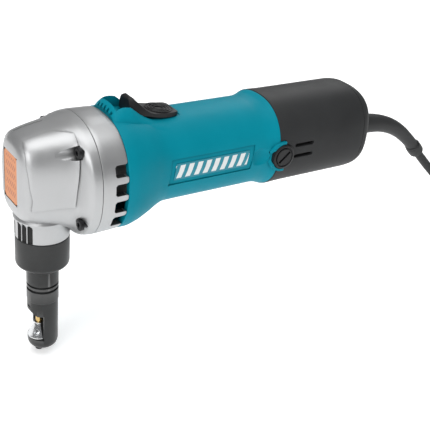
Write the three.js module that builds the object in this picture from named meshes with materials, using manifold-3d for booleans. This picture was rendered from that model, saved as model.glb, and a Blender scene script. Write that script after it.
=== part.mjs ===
// A slide-switch electric nibbler: a hand-held sheet metal cutter with a vertical punch and die
// column under its gear head, a motor barrel that is also the grip, and a mains cord at the rear.
// Millimetres, +Z up, +X towards the cord, symmetric about Y = 0. The origin is the centre of the
// hand grip, on the motor axis.
import * as THREE from 'three';
import { mergeVertices } from 'three/addons/utils/BufferGeometryUtils.js';
import Module from 'manifold-3d';

const wasm = await Module();
wasm.setup();

// ---------------------------------------------------------------- driving dimensions
const gap = 0.3;                 // clearance between faces that touch in the real tool

// lengths along X, measured back from the axis of the punch column
const gripToColumn = 105;        // column axis to the grip centre
const noseReach = 20;            // column axis forward to the front face
const headLength = 21.5;         // column axis back to the gear housing's rear face
const coverLength = 17.5;        // gear housing cover, front to back
const flangeLength = 35;         // motor housing from the cover back to the start of the barrel
const barrelLength = 82;         // motor housing from the start of the barrel to its rear edge
const rearLength = 85;           // rear cover, front to back

// the head
const headDrop = 2.3;            // head axis below the motor axis
const headRadius = 38;
const headPower = 2.3;           // roundness of the sections: 2 is a circle, more is squarer
const headWall = 4.2;
const noseHalfWidth = 22;
const padRise = 1.3;             // raised side pads
const badgeWidth = 19;
const badgeHeight = 31;
const badgeThickness = 1;
const housingScrewRadius = 2;
const housingScrewHead = 3.6;

// the barrel and the rear cover
const barrelRadius = 29.3;
const barrelWall = 3.2;
const rearRadius = 31.8;
const rearWall = 3.3;
const earRadius = 12;
const brushDrop = 2;             // brush axis below the motor axis
const brushBack = 3;             // brush axis behind the rear edge of the motor housing

// the punch column
const neckRadius = 17;
const neckBottom = -headDrop - headRadius + 0.2;
const spigotRadius = 12.5;
const spigotLength = 13.9;
const nutRadius = 17;
const nutLength = 17.5;
const nutCone = 8.3;
const holderRadius = 10.25;
const holderFlangeRadius = 12.3;
const holderFlange = 3.4;
const holderLength = 66.6;       // under the flange
const jawHeight = 40.4;          // under the flange, down to the face that presses on the sheet
const throat = 18.2;             // height of the opening for the sheet and the die
const punchOffset = 2.6;         // punch axis in front of the column axis
const punchRadius = 2.2;
const dieHeight = 9.6;
const dieBaseRadius = 7;
const dieTopRadius = 3.3;
const dieBoltHead = 2.6;
const dieBoltHeadLength = 3.7;

// the crank drive
const stroke = 4.4;
const toothModule = 0.8;
const pinionTeeth = 5;
const wheelTeeth = 36;
const wheelWidth = 6.5;
const rodThickness = 8;
const eccentricRadius = 6.2;
const footRadius = 4;
const sleeveRadius = 11;
const plungerRadius = 8.3;

// the motor
const shaftRadius = 4;
const journalRadius = 3;
const coreRadius = barrelRadius - 12.8;
const coreLength = 46;
const fanRadius = 24;
const commutatorRadius = 11.5;

// the switch
const knobLength = 35;
const knobHalfWidth = 10;
const knobPlay = 0.5;            // knob to the sides of its bed
const switchTravel = 5.5;
const bedDepth = 0.8;            // floor of the bed under the barrel's top
const hoodRise = 4.8;            // top of the hood over the radius of the head
const hoodWall = 4.6;
const knobRise = 5.6;            // tip of the knob over the radius of the head

// the cord
const cordDiameter = 7;
const guardRoot = 8.4;
const guardTip = 4.9;
const cordExitDrop = 4;
const restPlane = -129.6;        // the surface that the free end of the cord lies on

// ---------------------------------------------------------------- derived places
const columnX = -gripToColumn;
const frontX = columnX - noseReach;
const partingX = columnX + headLength;
const coverFrontX = partingX + gap;
const coverRearX = coverFrontX + coverLength - gap;
const motorFrontX = coverRearX + gap;
const barrelX = motorFrontX + flangeLength;
const motorRearX = barrelX + barrelLength;
const rearFrontX = motorRearX + gap;
const rearEndX = rearFrontX + rearLength - gap;
const brushX = motorRearX + brushBack;
const brushZ = -brushDrop;
const headZ = -headDrop;

const throwRadius = stroke / 2;
const rodBore = eccentricRadius + gap;
const rodEye = rodBore + 3.3;
const gearCentres = toothModule * (pinionTeeth + wheelTeeth) / 2;
const crankZ = -gearCentres;
const wheelX = partingX - 0.5 - wheelWidth;

const nutTop = neckBottom - gap;
const nutShoulder = neckBottom - spigotLength - gap - holderFlange - gap;
const nutCylinderEnd = nutTop - nutLength;
const nutEnd = nutCylinderEnd - nutCone;
const flangeTop = neckBottom - spigotLength - gap;
const holderTop = flangeTop - holderFlange;
const holderEnd = holderTop - holderLength;
const jawZ = holderTop - jawHeight;
const dieSeatZ = jawZ - throat;
const dieTopZ = dieSeatZ + gap + dieHeight;
const punchX = columnX - punchOffset;
const punchTipZ = dieTopZ - 1.2;

// ---------------------------------------------------------------- helpers
// A geometry with only positions, shared vertices and no flat triangles.
function clean(geometry) {
  const bare = geometry.clone();
  for (const key of Object.keys(bare.attributes)) {
    if (key !== 'position') {
      bare.deleteAttribute(key);
    }
  }
  const merged = mergeVertices(bare, 1e-4);
  const index = merged.index.array;
  const kept = [];
  for (let i = 0; i < index.length; i += 3) {
    const a = index[i];
    const b = index[i + 1];
    const c = index[i + 2];
    if (a !== b && b !== c && c !== a) {
      kept.push(a, b, c);
    }
  }
  merged.setIndex(kept);
  return merged;
}

function toSolid(geometry) {
  const merged = clean(geometry);
  const mesh = new wasm.Mesh({
    numProp: 3,
    vertProperties: new Float32Array(merged.attributes.position.array),
    triVerts: new Uint32Array(merged.index.array),
  });
  return new wasm.Manifold(mesh);
}

function toGeometry(solid) {
  const mesh = solid.getMesh();
  const geometry = new THREE.BufferGeometry();
  geometry.setAttribute('position', new THREE.BufferAttribute(new Float32Array(mesh.vertProperties), 3));
  geometry.setIndex(new THREE.BufferAttribute(new Uint32Array(mesh.triVerts), 1));
  return geometry;
}

function join(...geometries) {
  let solid = toSolid(geometries[0]);
  for (const geometry of geometries.slice(1)) {
    solid = solid.add(toSolid(geometry));
  }
  return toGeometry(solid);
}

function cut(geometry, ...tools) {
  let solid = toSolid(geometry);
  for (const tool of tools) {
    solid = solid.subtract(toSolid(tool));
  }
  return toGeometry(solid);
}

function common(a, b) {
  return toGeometry(toSolid(a).intersect(toSolid(b)));
}

function block(x0, x1, y0, y1, z0, z1) {
  const box = new THREE.BoxGeometry(x1 - x0, y1 - y0, z1 - z0);
  return box.translate((x0 + x1) / 2, (y0 + y1) / 2, (z0 + z1) / 2);
}

// A cylinder or cone between two places on a line parallel to X, Y or Z.
function barX(r0, r1, x0, x1, y, z, sides = 22) {
  const bar = new THREE.CylinderGeometry(r1, r0, x1 - x0, sides);
  return bar.rotateZ(-Math.PI / 2).translate((x0 + x1) / 2, y, z);
}

function barY(r0, r1, y0, y1, x, z, sides = 22) {
  const bar = new THREE.CylinderGeometry(r1, r0, y1 - y0, sides);
  return bar.translate(x, (y0 + y1) / 2, z);
}

function barZ(r0, r1, z0, z1, x, y, sides = 22) {
  const bar = new THREE.CylinderGeometry(r1, r0, z1 - z0, sides);
  return bar.rotateX(Math.PI / 2).translate(x, y, (z0 + z1) / 2);
}

// A body turned about a vertical line from [radius, z] points.
function turnedZ(points, x, y, sides = 30) {
  const profile = points.map(([r, z]) => new THREE.Vector2(r, z));
  const lathe = new THREE.LatheGeometry(profile, sides);
  return lathe.rotateX(Math.PI / 2).translate(x, y, 0);
}

// A body turned about a line parallel to X from [radius, x] points.
function turnedX(points, y, z, sides = 22) {
  const profile = points.map(([r, x]) => new THREE.Vector2(r, x));
  const lathe = new THREE.LatheGeometry(profile, sides);
  return lathe.rotateZ(-Math.PI / 2).translate(0, y, z);
}

function shapeOf(points) {
  return new THREE.Shape(points.map(([a, b]) => new THREE.Vector2(a, b)));
}

// An outline in X and Z, extruded from y0 to y1.
function slabY(points, y0, y1) {
  const slab = new THREE.ExtrudeGeometry(shapeOf(points), { depth: y1 - y0, bevelEnabled: false });
  return slab.rotateX(Math.PI / 2).translate(0, y1, 0);
}

// An outline in Y and Z, extruded from x0 to x1.
function slabX(points, x0, x1) {
  const slab = new THREE.ExtrudeGeometry(shapeOf(points), { depth: x1 - x0, bevelEnabled: false });
  return slab.rotateX(Math.PI / 2).rotateZ(Math.PI / 2).translate(x0, 0, 0);
}

function mirrorY(geometry) {
  const copy = clean(geometry);
  copy.scale(1, -1, 1);
  const index = copy.index.array;
  for (let i = 0; i < index.length; i += 3) {
    const b = index[i + 1];
    index[i + 1] = index[i + 2];
    index[i + 2] = b;
  }
  return copy;
}

// One section of a lofted body: rounded, with its own half width, height above and depth below.
function station(x, halfWidth, above, below, z, power) {
  return { x, halfWidth, above, below, z, power };
}

function round(x, radius, z = 0, power = headPower) {
  return station(x, radius, radius, radius, z, power);
}

// A closed body through sections across X.
function loft(stations, sides = 28) {
  const points = [];
  const faces = [];
  for (const s of stations) {
    for (let i = 0; i < sides; i += 1) {
      const angle = 2 * Math.PI * i / sides;
      const c = Math.cos(angle);
      const n = Math.sin(angle);
      const y = s.halfWidth * Math.sign(c) * Math.abs(c) ** (2 / s.power);
      const reach = n >= 0 ? s.above : s.below;
      points.push(s.x, y, s.z + reach * Math.sign(n) * Math.abs(n) ** (2 / s.power));
    }
  }
  for (let k = 0; k + 1 < stations.length; k += 1) {
    for (let i = 0; i < sides; i += 1) {
      const a = k * sides + i;
      const b = k * sides + (i + 1) % sides;
      faces.push(a, b, b + sides, a, b + sides, a + sides);
    }
  }
  const first = points.length / 3;
  const last = (stations.length - 1) * sides;
  points.push(stations[0].x, 0, stations[0].z);
  points.push(stations[stations.length - 1].x, 0, stations[stations.length - 1].z);
  for (let i = 0; i < sides; i += 1) {
    const next = (i + 1) % sides;
    faces.push(first, next, i);
    faces.push(first + 1, last + i, last + next);
  }
  const geometry = new THREE.BufferGeometry();
  geometry.setAttribute('position', new THREE.Float32BufferAttribute(points, 3));
  geometry.setIndex(faces);
  return geometry;
}

// The outline of a spur gear with straight-sided teeth, narrow enough to run with play.
function gearShape(teeth, boreRadius) {
  const pitch = toothModule * teeth / 2;
  const root = pitch - 1.15 * toothModule;
  const tip = pitch + 0.6 * toothModule;
  const step = 2 * Math.PI / teeth;
  const shape = new THREE.Shape();
  for (let i = 0; i < teeth; i += 1) {
    const middle = i * step;
    const corners = [[root, -0.21], [tip, -0.11], [tip, 0.11], [root, 0.21]];
    for (const [radius, share] of corners) {
      const angle = middle + share * step;
      const x = radius * Math.cos(angle);
      const y = radius * Math.sin(angle);
      if (i === 0 && share === -0.21) {
        shape.moveTo(x, y);
      } else {
        shape.lineTo(x, y);
      }
    }
  }
  shape.closePath();
  if (boreRadius > 0) {
    const hole = new THREE.Path();
    hole.absarc(0, 0, boreRadius, 0, 2 * Math.PI, true);
    shape.holes.push(hole);
  }
  return shape;
}

function gearX(teeth, boreRadius, x0, x1, z, turn) {
  const options = { depth: x1 - x0, bevelEnabled: false, curveSegments: 12 };
  const gear = new THREE.ExtrudeGeometry(gearShape(teeth, boreRadius), options);
  gear.rotateZ(turn).rotateX(Math.PI / 2).rotateZ(Math.PI / 2);
  return gear.translate(x0, 0, z);
}

const tool = new THREE.Group();

function add(name, geometry, colour, roughness, metalness) {
  const material = new THREE.MeshStandardMaterial({ color: colour, roughness, metalness });
  const mesh = new THREE.Mesh(geometry, material);
  mesh.name = name;
  tool.add(mesh);
}

const castAlloy = [0xb9bcbf, 0.45, 0.7];
const tealPlastic = [0x007f92, 0.42, 0];
const blackPlastic = [0x25272a, 0.5, 0];
const darkSteel = [0x4a4c4e, 0.45, 0.75];
const blackSteel = [0x1c1d1f, 0.45, 0.6];
const brightSteel = [0xc9cbce, 0.25, 0.95];
const goldSteel = [0xc9a257, 0.3, 0.9];
const rubber = [0x1d1f21, 0.7, 0];
const brass = [0xc4a24e, 0.35, 0.9];
const carbon = [0x2b2b2d, 0.8, 0];
const copper = [0xb4703c, 0.35, 0.9];
const laminated = [0x6f7275, 0.5, 0.7];
const orangePlate = [0xe08a50, 0.5, 0];
const whitePlate = [0xe9ecec, 0.5, 0];

// ---------------------------------------------------------------- gear housing
// Sections of the outside, from the front face back to the round rear flange.
const headStations = [
  station(frontX, 12.5, 22.5, 15.5, headZ, 3.4),
  station(frontX + 0.8, noseHalfWidth - 7, 25.6, 18.6, headZ, 3.3),
  station(frontX + 2.5, noseHalfWidth - 4.4, 28.2, 21, headZ, 3.2),
  station(frontX + 5.5, noseHalfWidth - 2.2, 30.4, 22.8, headZ, 3.1),
  station(frontX + 14, noseHalfWidth, 32.6, 26, headZ, 3),
  station(partingX - 16, noseHalfWidth + 3, 34.6, 29, headZ, 2.9),
  station(partingX - 10.5, noseHalfWidth + 6, 35.8, 31.5, headZ, 2.8),
  station(partingX - 7, headRadius - 3.6, headRadius - 1.2, headRadius - 2.8, headZ, 2.45),
  station(partingX - 4.5, headRadius - 0.9, headRadius - 0.4, headRadius - 0.7, headZ, headPower),
  station(partingX, headRadius, headRadius, headRadius, headZ, headPower),
];
const cavityStations = [
  station(frontX + 4.8, noseHalfWidth - 7, 22, 17.5, headZ, 2.6),
  station(frontX + 14, noseHalfWidth - headWall, 28, 21.5, headZ, 2.6),
  station(partingX - 16, noseHalfWidth + 3 - headWall, 30, 24.5, headZ, 2.6),
  station(wheelX - 0.8, headRadius - 12.5, headRadius - 8, headRadius - 7.9, headZ, 2.4),
  station(wheelX + 2, headRadius - 6.5, headRadius - 6.5, headRadius - 6.5, headZ, 2.3),
  station(partingX + 1, headRadius - headWall, headRadius - headWall, headRadius - headWall, headZ, 2.3),
];

// The four screws that hold the head: their angles about the head axis and their distance out.
const screwCircle = headRadius - 2.6;
const screwPlaces = [45, 135, -35, -145].map((degrees) => {
  const angle = degrees * Math.PI / 180;
  return { y: screwCircle * Math.cos(angle), z: headZ + screwCircle * Math.sin(angle) };
});
const screwHeadX = partingX - 8.5;

function sidePad(side) {
  const grown = headStations.map((s) => station(
    s.x, s.halfWidth + padRise, s.above + 0.3, s.below, s.z, s.power));
  const z = headZ;
  const left = frontX;
  const right = partingX - 11;
  const outline = [
    [left + 4.6, z - 10], [right - 1.5, z - 9], [right - 1, z], [right + 2, z + 34],
    [left + 6.5, z + 34], [left + 3.4, z + 27], [left + 2.9, z + 18], [left + 4, z + 4], [left + 5.2, z - 3],
  ];
  const near = slabY(outline, 8, 60);
  return common(loft(grown), side > 0 ? near : mirrorY(near));
}

function housingScrewCutters(x0, x1) {
  return screwPlaces.map((p) => barX(housingScrewRadius + gap, housingScrewRadius + gap, x0, x1, p.y, p.z, 10));
}

// Round-topped flutes down the front of the neck.
function neckFlutes() {
  return [-37, -20, -7, 7, 20, 37].map((degrees) => {
    const angle = Math.PI + degrees * Math.PI / 180;
    const x = columnX + (neckRadius + 0.5) * Math.cos(angle);
    const y = (neckRadius + 0.5) * Math.sin(angle);
    return join(
      barZ(1.7, 1.7, neckBottom - 1, neckBottom + 12, x, y, 8),
      barZ(1.7, 0.7, neckBottom + 12, neckBottom + 13.3, x, y, 8),
    );
  });
}

const crankFrontBearingX = columnX - 14.5;
const crankBearingLength = 5;
const sleeveTop = crankZ - throwRadius - rodEye - stroke - 0.8;

function gearHousing() {
  const bosses = screwPlaces.map((p) => barX(5, 5, screwHeadX, partingX, p.y * 0.955, headZ + (p.z - headZ) * 0.955, 12));
  const outside = join(
    loft(headStations),
    sidePad(1),
    sidePad(-1),
    barZ(neckRadius, neckRadius, neckBottom, crankZ - 6, columnX, 0, 20),
    barZ(spigotRadius, spigotRadius, neckBottom - spigotLength, neckBottom + 2, columnX, 0, 20),
  );
  const pockets = screwPlaces.map((p) => barX(
    housingScrewHead + 0.6, housingScrewHead + 0.6, screwHeadX - 14, screwHeadX, p.y, p.z, 12));
  const cavity = cut(
    loft(cavityStations),
    ...bosses,
    barX(8, 8, frontX, crankFrontBearingX + crankBearingLength, 0, crankZ, 20),
  );
  return cut(
    outside,
    cavity,
    ...pockets,
    ...housingScrewCutters(screwHeadX - 1, partingX + 1),
    ...neckFlutes(),
    barX(5.5 + gap, 5.5 + gap, crankFrontBearingX - 0.5, crankFrontBearingX + 20, 0, crankZ, 20),
    barZ(sleeveRadius + gap, sleeveRadius + gap, neckBottom - spigotLength - 1, sleeveTop + gap, columnX, 0, 24),
    barZ(plungerRadius + 0.5, plungerRadius + 0.5, sleeveTop - 1, crankZ, columnX, 0, 24),
    barX(rodEye + throwRadius + 0.8, rodEye + throwRadius + 0.8, columnX - 5.5, columnX + 5.5, 0, crankZ, 24),
    block(frontX - 1, frontX + badgeThickness, -badgeWidth / 2 - gap, badgeWidth / 2 + gap,
      headZ + 4.5 - badgeHeight / 2 - gap, headZ + 4.5 + badgeHeight / 2 + gap),
  );
}
add('gear_housing', gearHousing(), ...castAlloy);

function badge() {
  const w = badgeWidth / 2;
  const low = headZ + 4.5 - badgeHeight / 2;
  const high = headZ + 4.5 + badgeHeight / 2;
  const c = 2;
  const outline = [
    [-w + c, low], [w - c, low], [w, low + c], [w, high - c],
    [w - c, high], [-w + c, high], [-w, high - c], [-w, low + c],
  ];
  return slabX(outline, frontX + gap - 0.1, frontX + badgeThickness - gap + 0.1);
}
add('front_badge', badge(), ...orangePlate);

// ---------------------------------------------------------------- gear housing cover
const shaftBearingX = coverFrontX + 2;
const shaftBearingLength = 7;
const shaftBearingRadius = 7.5;
const crankRearBearingX = coverFrontX + 2;
const crankRearBearingLength = 6;
const crankRearBearingRadius = 6.5;

function gearHousingCover() {
  const shell = loft([
    round(coverFrontX, headRadius, headZ),
    round(coverRearX, headRadius - 0.5, headZ),
  ]);
  const rearRoom = loft([
    round(coverFrontX + 10.5, headRadius - headWall, headZ),
    round(coverRearX + 1, headRadius - headWall, headZ),
  ]);
  const frontRoom = loft([
    round(coverFrontX - 1, headRadius - headWall - 4, headZ),
    round(coverFrontX + 1.2, headRadius - headWall - 4, headZ),
  ]);
  const rows = [[10.6, 17.8], [-1.2, 6.4], [-13, -5], [-24.4, -16.4]];
  const vents = rows.flatMap(([low, high]) => {
    const slot = block(coverRearX - 7, coverRearX + 1, 20, 45, headZ + low, headZ + high);
    return [slot, mirrorY(slot)];
  });
  return cut(
    shell,
    rearRoom,
    frontRoom,
    ...vents,
    ...housingScrewCutters(coverFrontX - 1, coverFrontX + 8),
    barX(shaftBearingRadius + gap, shaftBearingRadius + gap, shaftBearingX, coverRearX, 0, 0, 20),
    barX(5, 5, coverFrontX - 1, coverRearX, 0, 0, 20),
    barX(crankRearBearingRadius + gap, crankRearBearingRadius + gap,
      coverFrontX - 1, crankRearBearingX + crankRearBearingLength + gap, 0, crankZ, 20),
  );
}
add('gear_housing_cover', gearHousingCover(), ...castAlloy);

screwPlaces.forEach((p, i) => {
  const names = ['upper_right', 'upper_left', 'lower_right', 'lower_left'];
  const head = barX(housingScrewHead, housingScrewHead, screwHeadX - 2.6, screwHeadX - gap, p.y, p.z, 10);
  const shank = barX(housingScrewRadius, housingScrewRadius, screwHeadX - 1, coverFrontX + 7, p.y, p.z, 10);
  const drive = barX(1.6, 1.6, screwHeadX - 3, screwHeadX - 1.4, p.y, p.z, 6);
  add(`housing_screw_${names[i]}`, cut(join(head, shank), drive), ...blackSteel);
});

// ---------------------------------------------------------------- motor housing
const motorStations = [
  round(motorFrontX, headRadius - 0.6, headZ),
  round(motorFrontX + 5, headRadius - 0.4, headZ),
  round(motorFrontX + 11, headRadius - 1.4, headZ * 0.95),
  round(motorFrontX + 21, headRadius - 4.5, headZ * 0.65),
  round(barrelX - 6, barrelRadius + 1.3, headZ * 0.3),
  round(barrelX, barrelRadius, 0),
  round(barrelX + 8, barrelRadius - 0.1, 0),
  round(motorRearX - 10, barrelRadius - 0.1, 0),
  round(motorRearX - 5, barrelRadius + 0.8, 0),
  round(motorRearX, rearRadius, 0),
];
const motorRoomStations = [
  round(motorFrontX - 1, headRadius - headWall, headZ),
  round(motorFrontX + 11, headRadius - 5, headZ * 0.95),
  round(motorFrontX + 21, headRadius - 8, headZ * 0.65),
  round(barrelX - 6, barrelRadius - barrelWall + 1, headZ * 0.3),
  round(barrelX, barrelRadius - barrelWall, 0),
  round(motorRearX + 13, barrelRadius - barrelWall - 0.2, 0),
];
const lipLength = 12;            // the motor housing's lip inside the rear cover

const hoodTop = headRadius + hoodRise;
const knobTip = headRadius + knobRise;

// The bed that the switch knob slides in: its floor from front to rear, as [x, z], sunk in the
// housing's top, and the hood with a wall on each side of the knob's raised front.
const knobFrontX = motorFrontX + 14.7;
const knobRearX = knobFrontX + knobLength;
const bedHalfWidth = knobHalfWidth + knobPlay;
const bedFrontX = knobFrontX - switchTravel - 5.8;
const bedRearX = knobRearX + 2 * knobPlay;
const bedLine = [
  [bedFrontX, headRadius - 4],
  [motorFrontX + 15.7, headRadius - 5.6],
  [motorFrontX + 21.7, headRadius - 7],
  [barrelX - 6.3, barrelRadius],
  [barrelX - 0.3, barrelRadius - bedDepth + 0.1],
  [bedRearX, barrelRadius - bedDepth],
];

function bedZ(x) {
  const after = bedLine.findIndex(([at]) => at > x);
  const k = after < 0 ? bedLine.length - 1 : Math.max(1, after);
  const [x0, z0] = bedLine[k - 1];
  const [x1, z1] = bedLine[k];
  return z0 + (z1 - z0) * (x - x0) / (x1 - x0);
}

function knobSeat() {
  const core = barrelRadius - 9.3;
  const places = [
    [motorFrontX + 15.7, headRadius - 4.1], [motorFrontX + 21.7, headRadius - 5.5],
    [barrelX - 6.3, barrelRadius + 1.3], [barrelX - 0.3, barrelRadius + 0.65],
    [bedRearX, barrelRadius + 0.6], [bedRearX + 6, barrelRadius + 0.1], [bedRearX + 8.5, barrelRadius - 0.6],
  ];
  return loft(places.map(([x, top]) => station(x, knobHalfWidth + 8, top - core, 5, core, 3.4)));
}

function knobHood() {
  const core = barrelRadius - 9.3;
  const places = [
    [motorFrontX + 0.3, headRadius - 0.5], [motorFrontX + 2.2, hoodTop - 2.8], [motorFrontX + 4.7, hoodTop - 0.8],
    [motorFrontX + 7.7, hoodTop], [motorFrontX + 13.7, hoodTop - 0.2], [motorFrontX + 16.7, hoodTop - 2.3],
    [motorFrontX + 19.7, hoodTop - 5.8], [motorFrontX + 22.7, hoodTop - 9.3], [motorFrontX + 25, hoodTop - 12],
  ];
  return loft(places.map(([x, top]) => station(x, bedHalfWidth + hoodWall, top - core, 5, core, 3.8)));
}

function knobBed() {
  return slabY([...bedLine, [bedRearX, hoodTop + 5], [bedFrontX, hoodTop + 5]], -bedHalfWidth, bedHalfWidth);
}

function platePrism(x0, x1, low, high, slant) {
  const outline = [[x0 - slant, low], [x1 - slant, low], [x1 + slant, high], [x0 + slant, high]];
  return slabY(outline, 10, 50);
}
const plateX0 = barrelX - 2;
const plateX1 = motorRearX - 20;

function motorHousing() {
  const ear = barY(earRadius, earRadius, 18, rearRadius + 0.9, brushX, brushZ, 20);
  const lip = loft([
    round(motorRearX - 6, rearRadius - rearWall - gap, 0),
    round(motorRearX + lipLength, rearRadius - rearWall - gap, 0),
  ]);
  const outside = join(loft(motorStations), knobSeat(), knobHood(), lip, ear, mirrorY(ear));
  const recess = cut(platePrism(plateX0, plateX1, -8.6, 8.6, 1), loft([
    round(plateX0 - 10, barrelRadius - 1, 0),
    round(plateX1 + 10, barrelRadius - 1, 0),
  ]));
  const capSeat = barY(9.2 + gap, 9.2 + gap, rearRadius - 1.4, 60, brushX, brushZ, 20);
  const holderBore = barY(6.6, 6.6, 12, 60, brushX, brushZ, 20);
  const slotX0 = knobFrontX + 11 - switchTravel;
  const hollow = barY(6, 8.5, rearRadius - 2, rearRadius + 6, brushX - earRadius - 7.5, brushZ, 20);
  return cut(
    outside,
    loft(motorRoomStations),
    barX(22, 22, barrelX, motorRearX + 40, 0, 0, 20),
    knobBed(),
    recess,
    mirrorY(recess),
    capSeat,
    mirrorY(capSeat),
    holderBore,
    mirrorY(holderBore),
    hollow,
    mirrorY(hollow),
    block(slotX0, knobFrontX + 27, -5.2, 5.2, 18, 40),
    ...coverScrewPlaces.map((y) => barZ(1.8, 1.8, -40, -20, coverScrewX, y, 10)),
  );
}
const coverScrewX = motorRearX + 7;
const coverScrewPlaces = [-8, 8];
add('motor_housing', motorHousing(), ...tealPlastic);

function nameStrip() {
  const skin = loft([
    round(plateX0 - 10, barrelRadius - 0.15, 0),
    round(plateX1 + 10, barrelRadius - 0.15, 0),
  ]);
  const core = loft([
    round(plateX0 - 12, barrelRadius - 0.7, 0),
    round(plateX1 + 12, barrelRadius - 0.7, 0),
  ]);
  return cut(common(platePrism(plateX0 + 4, plateX1 - 4, -5.5, 5.5, 0.7), skin), core);
}
add('name_strip_left', mirrorY(nameStrip()), ...whitePlate);
add('name_strip_right', nameStrip(), ...whitePlate);

// ---------------------------------------------------------------- rear cover
const rearStations = [
  round(rearFrontX, rearRadius + 0.3, 0),
  round(rearFrontX + 12, rearRadius, 0),
  round(rearEndX - 14, rearRadius, 0),
  round(rearEndX - 7.5, rearRadius - 0.9, 0, 2.4),
  round(rearEndX - 3, rearRadius - 3, 0, 2.6),
  round(rearEndX - 0.8, rearRadius - 5.4, 0, 2.8),
  round(rearEndX, rearRadius - 7.2, 0, 2.9),
];
const exitZ = -cordExitDrop;
const guardStem = 6;

function rearCover() {
  const room = loft([
    round(rearFrontX - 1, rearRadius - rearWall, 0),
    round(rearEndX - 12, rearRadius - rearWall, 0),
    round(rearEndX - 4, rearRadius - rearWall - 5, 0, 2.5),
  ]);
  const slots = [4, -4].flatMap((z) => {
    const slot = block(rearFrontX + 12.7, rearFrontX + 29, 20, 45, z - 1.3, z + 1.3);
    return [slot, mirrorY(slot)];
  });
  const earCut = barY(earRadius + gap, earRadius + gap, 15, 60, brushX, brushZ, 20);
  const openFront = block(rearFrontX - 5, brushX, 15, 60, brushZ - earRadius - gap, brushZ + earRadius + gap);
  return cut(
    loft(rearStations),
    room,
    ...slots,
    earCut,
    mirrorY(earCut),
    openFront,
    mirrorY(openFront),
    barX(guardStem + gap, guardStem + gap, rearEndX - 12, rearEndX + 2, 0, exitZ, 20),
    ...coverScrewPlaces.flatMap((y) => [
      barZ(1.8, 1.8, -40, -20, coverScrewX, y, 10),
      barZ(3.4, 3.4, -40, -rearRadius + 1.6, coverScrewX, y, 10),
    ]),
  );
}
add('rear_cover', rearCover(), ...blackPlastic);

coverScrewPlaces.forEach((y, i) => {
  const top = -rearRadius + 1.6 - gap;
  const head = barZ(3, 3, top - 1.4, top, coverScrewX, y, 10);
  const shank = barZ(1.5, 1.5, top - 0.5, -rearRadius + rearWall + 5, coverScrewX, y, 10);
  add(`rear_cover_screw_${i + 1}`, join(head, shank), ...blackSteel);
});

// ---------------------------------------------------------------- brushes
function bothSides(name, geometry, look) {
  add(`${name}_left`, mirrorY(geometry), ...look);
  add(`${name}_right`, geometry, ...look);
}
const brushInner = commutatorRadius + gap;
const brushOuter = brushInner + 9;
const holderInner = brushInner + 2;
const capSeatY = rearRadius - 1.4;

function brushHolder() {
  const tube = barY(6.2, 6.2, holderInner, capSeatY - 2, brushX, brushZ, 20);
  const hole = block(brushX - 3.6, brushX + 3.6, holderInner - 1, capSeatY, brushZ - 3.1, brushZ + 3.1);
  return cut(tube, hole);
}
bothSides('brush_holder', brushHolder(), brass);
bothSides('carbon_brush', block(brushX - 3.3, brushX + 3.3, brushInner, brushOuter, brushZ - 2.8, brushZ + 2.8), carbon);

function brushSpring() {
  const y0 = brushOuter + gap;
  const y1 = capSeatY - 2.6;
  return cut(barY(2.6, 2.6, y0, y1, brushX, brushZ, 10), barY(1.7, 1.7, y0 - 1, y1 + 1, brushX, brushZ, 10));
}
bothSides('brush_spring', brushSpring(), brightSteel);

function brushCap() {
  const head = barY(9.2, 8.6, capSeatY + gap, rearRadius + 1.9, brushX, brushZ, 20);
  const plug = barY(6.2, 6.2, capSeatY - 1.7, capSeatY + 1, brushX, brushZ, 20);
  const slot = block(-7.5, 7.5, rearRadius + 0.6, rearRadius + 4, -1.1, 1.1);
  slot.rotateY(-40 * Math.PI / 180).translate(brushX, 0, brushZ);
  return cut(join(head, plug), slot);
}
bothSides('brush_cap', brushCap(), blackPlastic);

// ---------------------------------------------------------------- switch
const switchRodZ = barrelRadius - 5.3;
const switchBodyX = rearFrontX + 38;

function switchKnob() {
  const x = knobFrontX;
  const lowest = (back) => bedZ(x + back - switchTravel) + 0.4;
  const under = [0, 7, 14, 19, 24, knobLength].map((back) => [x + back, lowest(back)]);
  const top = [
    [knobRearX, barrelRadius + 0.6], [knobRearX - 1.5, barrelRadius + 1.6], [knobRearX - 11, barrelRadius + 2.6],
    [x + 15, lowest(15) + 2.407], [x + 12.5, lowest(12.5) + 2.8], [x + 8, lowest(8) + 5.35],
    [x + 4, knobTip - 1.6], [x + 2.4, knobTip - 0.1], [x + 1, knobTip], [x, knobTip - 1],
  ];
  const body = slabY([...under, ...top], -knobHalfWidth, knobHalfWidth);
  const trim = loft([
    station(x - 1, knobHalfWidth - 2.6, 22, 22, 22, 3),
    station(x + 4, knobHalfWidth - 0.6, 22, 22, 22, 3),
    station(x + 18, knobHalfWidth, 22, 22, 22, 3.4),
    station(knobRearX - 6, knobHalfWidth - 0.6, 22, 22, 22, 3.4),
    station(knobRearX - 2, knobHalfWidth - 2.4, 22, 22, 22, 3.4),
    station(knobRearX + 1, knobHalfWidth - 5.4, 22, 22, 22, 3.4),
  ]);
  const ribs = [0, 1, 2, 3].map((i) => {
    const disc = new THREE.CylinderGeometry(8.4 - 2 * i, 8.4 - 2 * i, 1.2, 20).rotateX(Math.PI / 2);
    return disc.scale(1.08, 0.98, 1).rotateY(0.115).translate(knobRearX - 10.8, 0, barrelRadius + 2.2 + 0.3 * i);
  });
  const leg = block(x + 13, x + 25, -4, 4, switchRodZ + 1, barrelRadius + 2);
  return join(common(body, trim), ...ribs, leg);
}
add('switch_knob', switchKnob(), ...blackPlastic);
const rodStartX = knobFrontX + 11;
add('switch_rod', block(rodStartX, switchBodyX - gap, -3.5, 3.5, switchRodZ - 1, switchRodZ + 1 - gap), ...blackPlastic);

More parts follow.
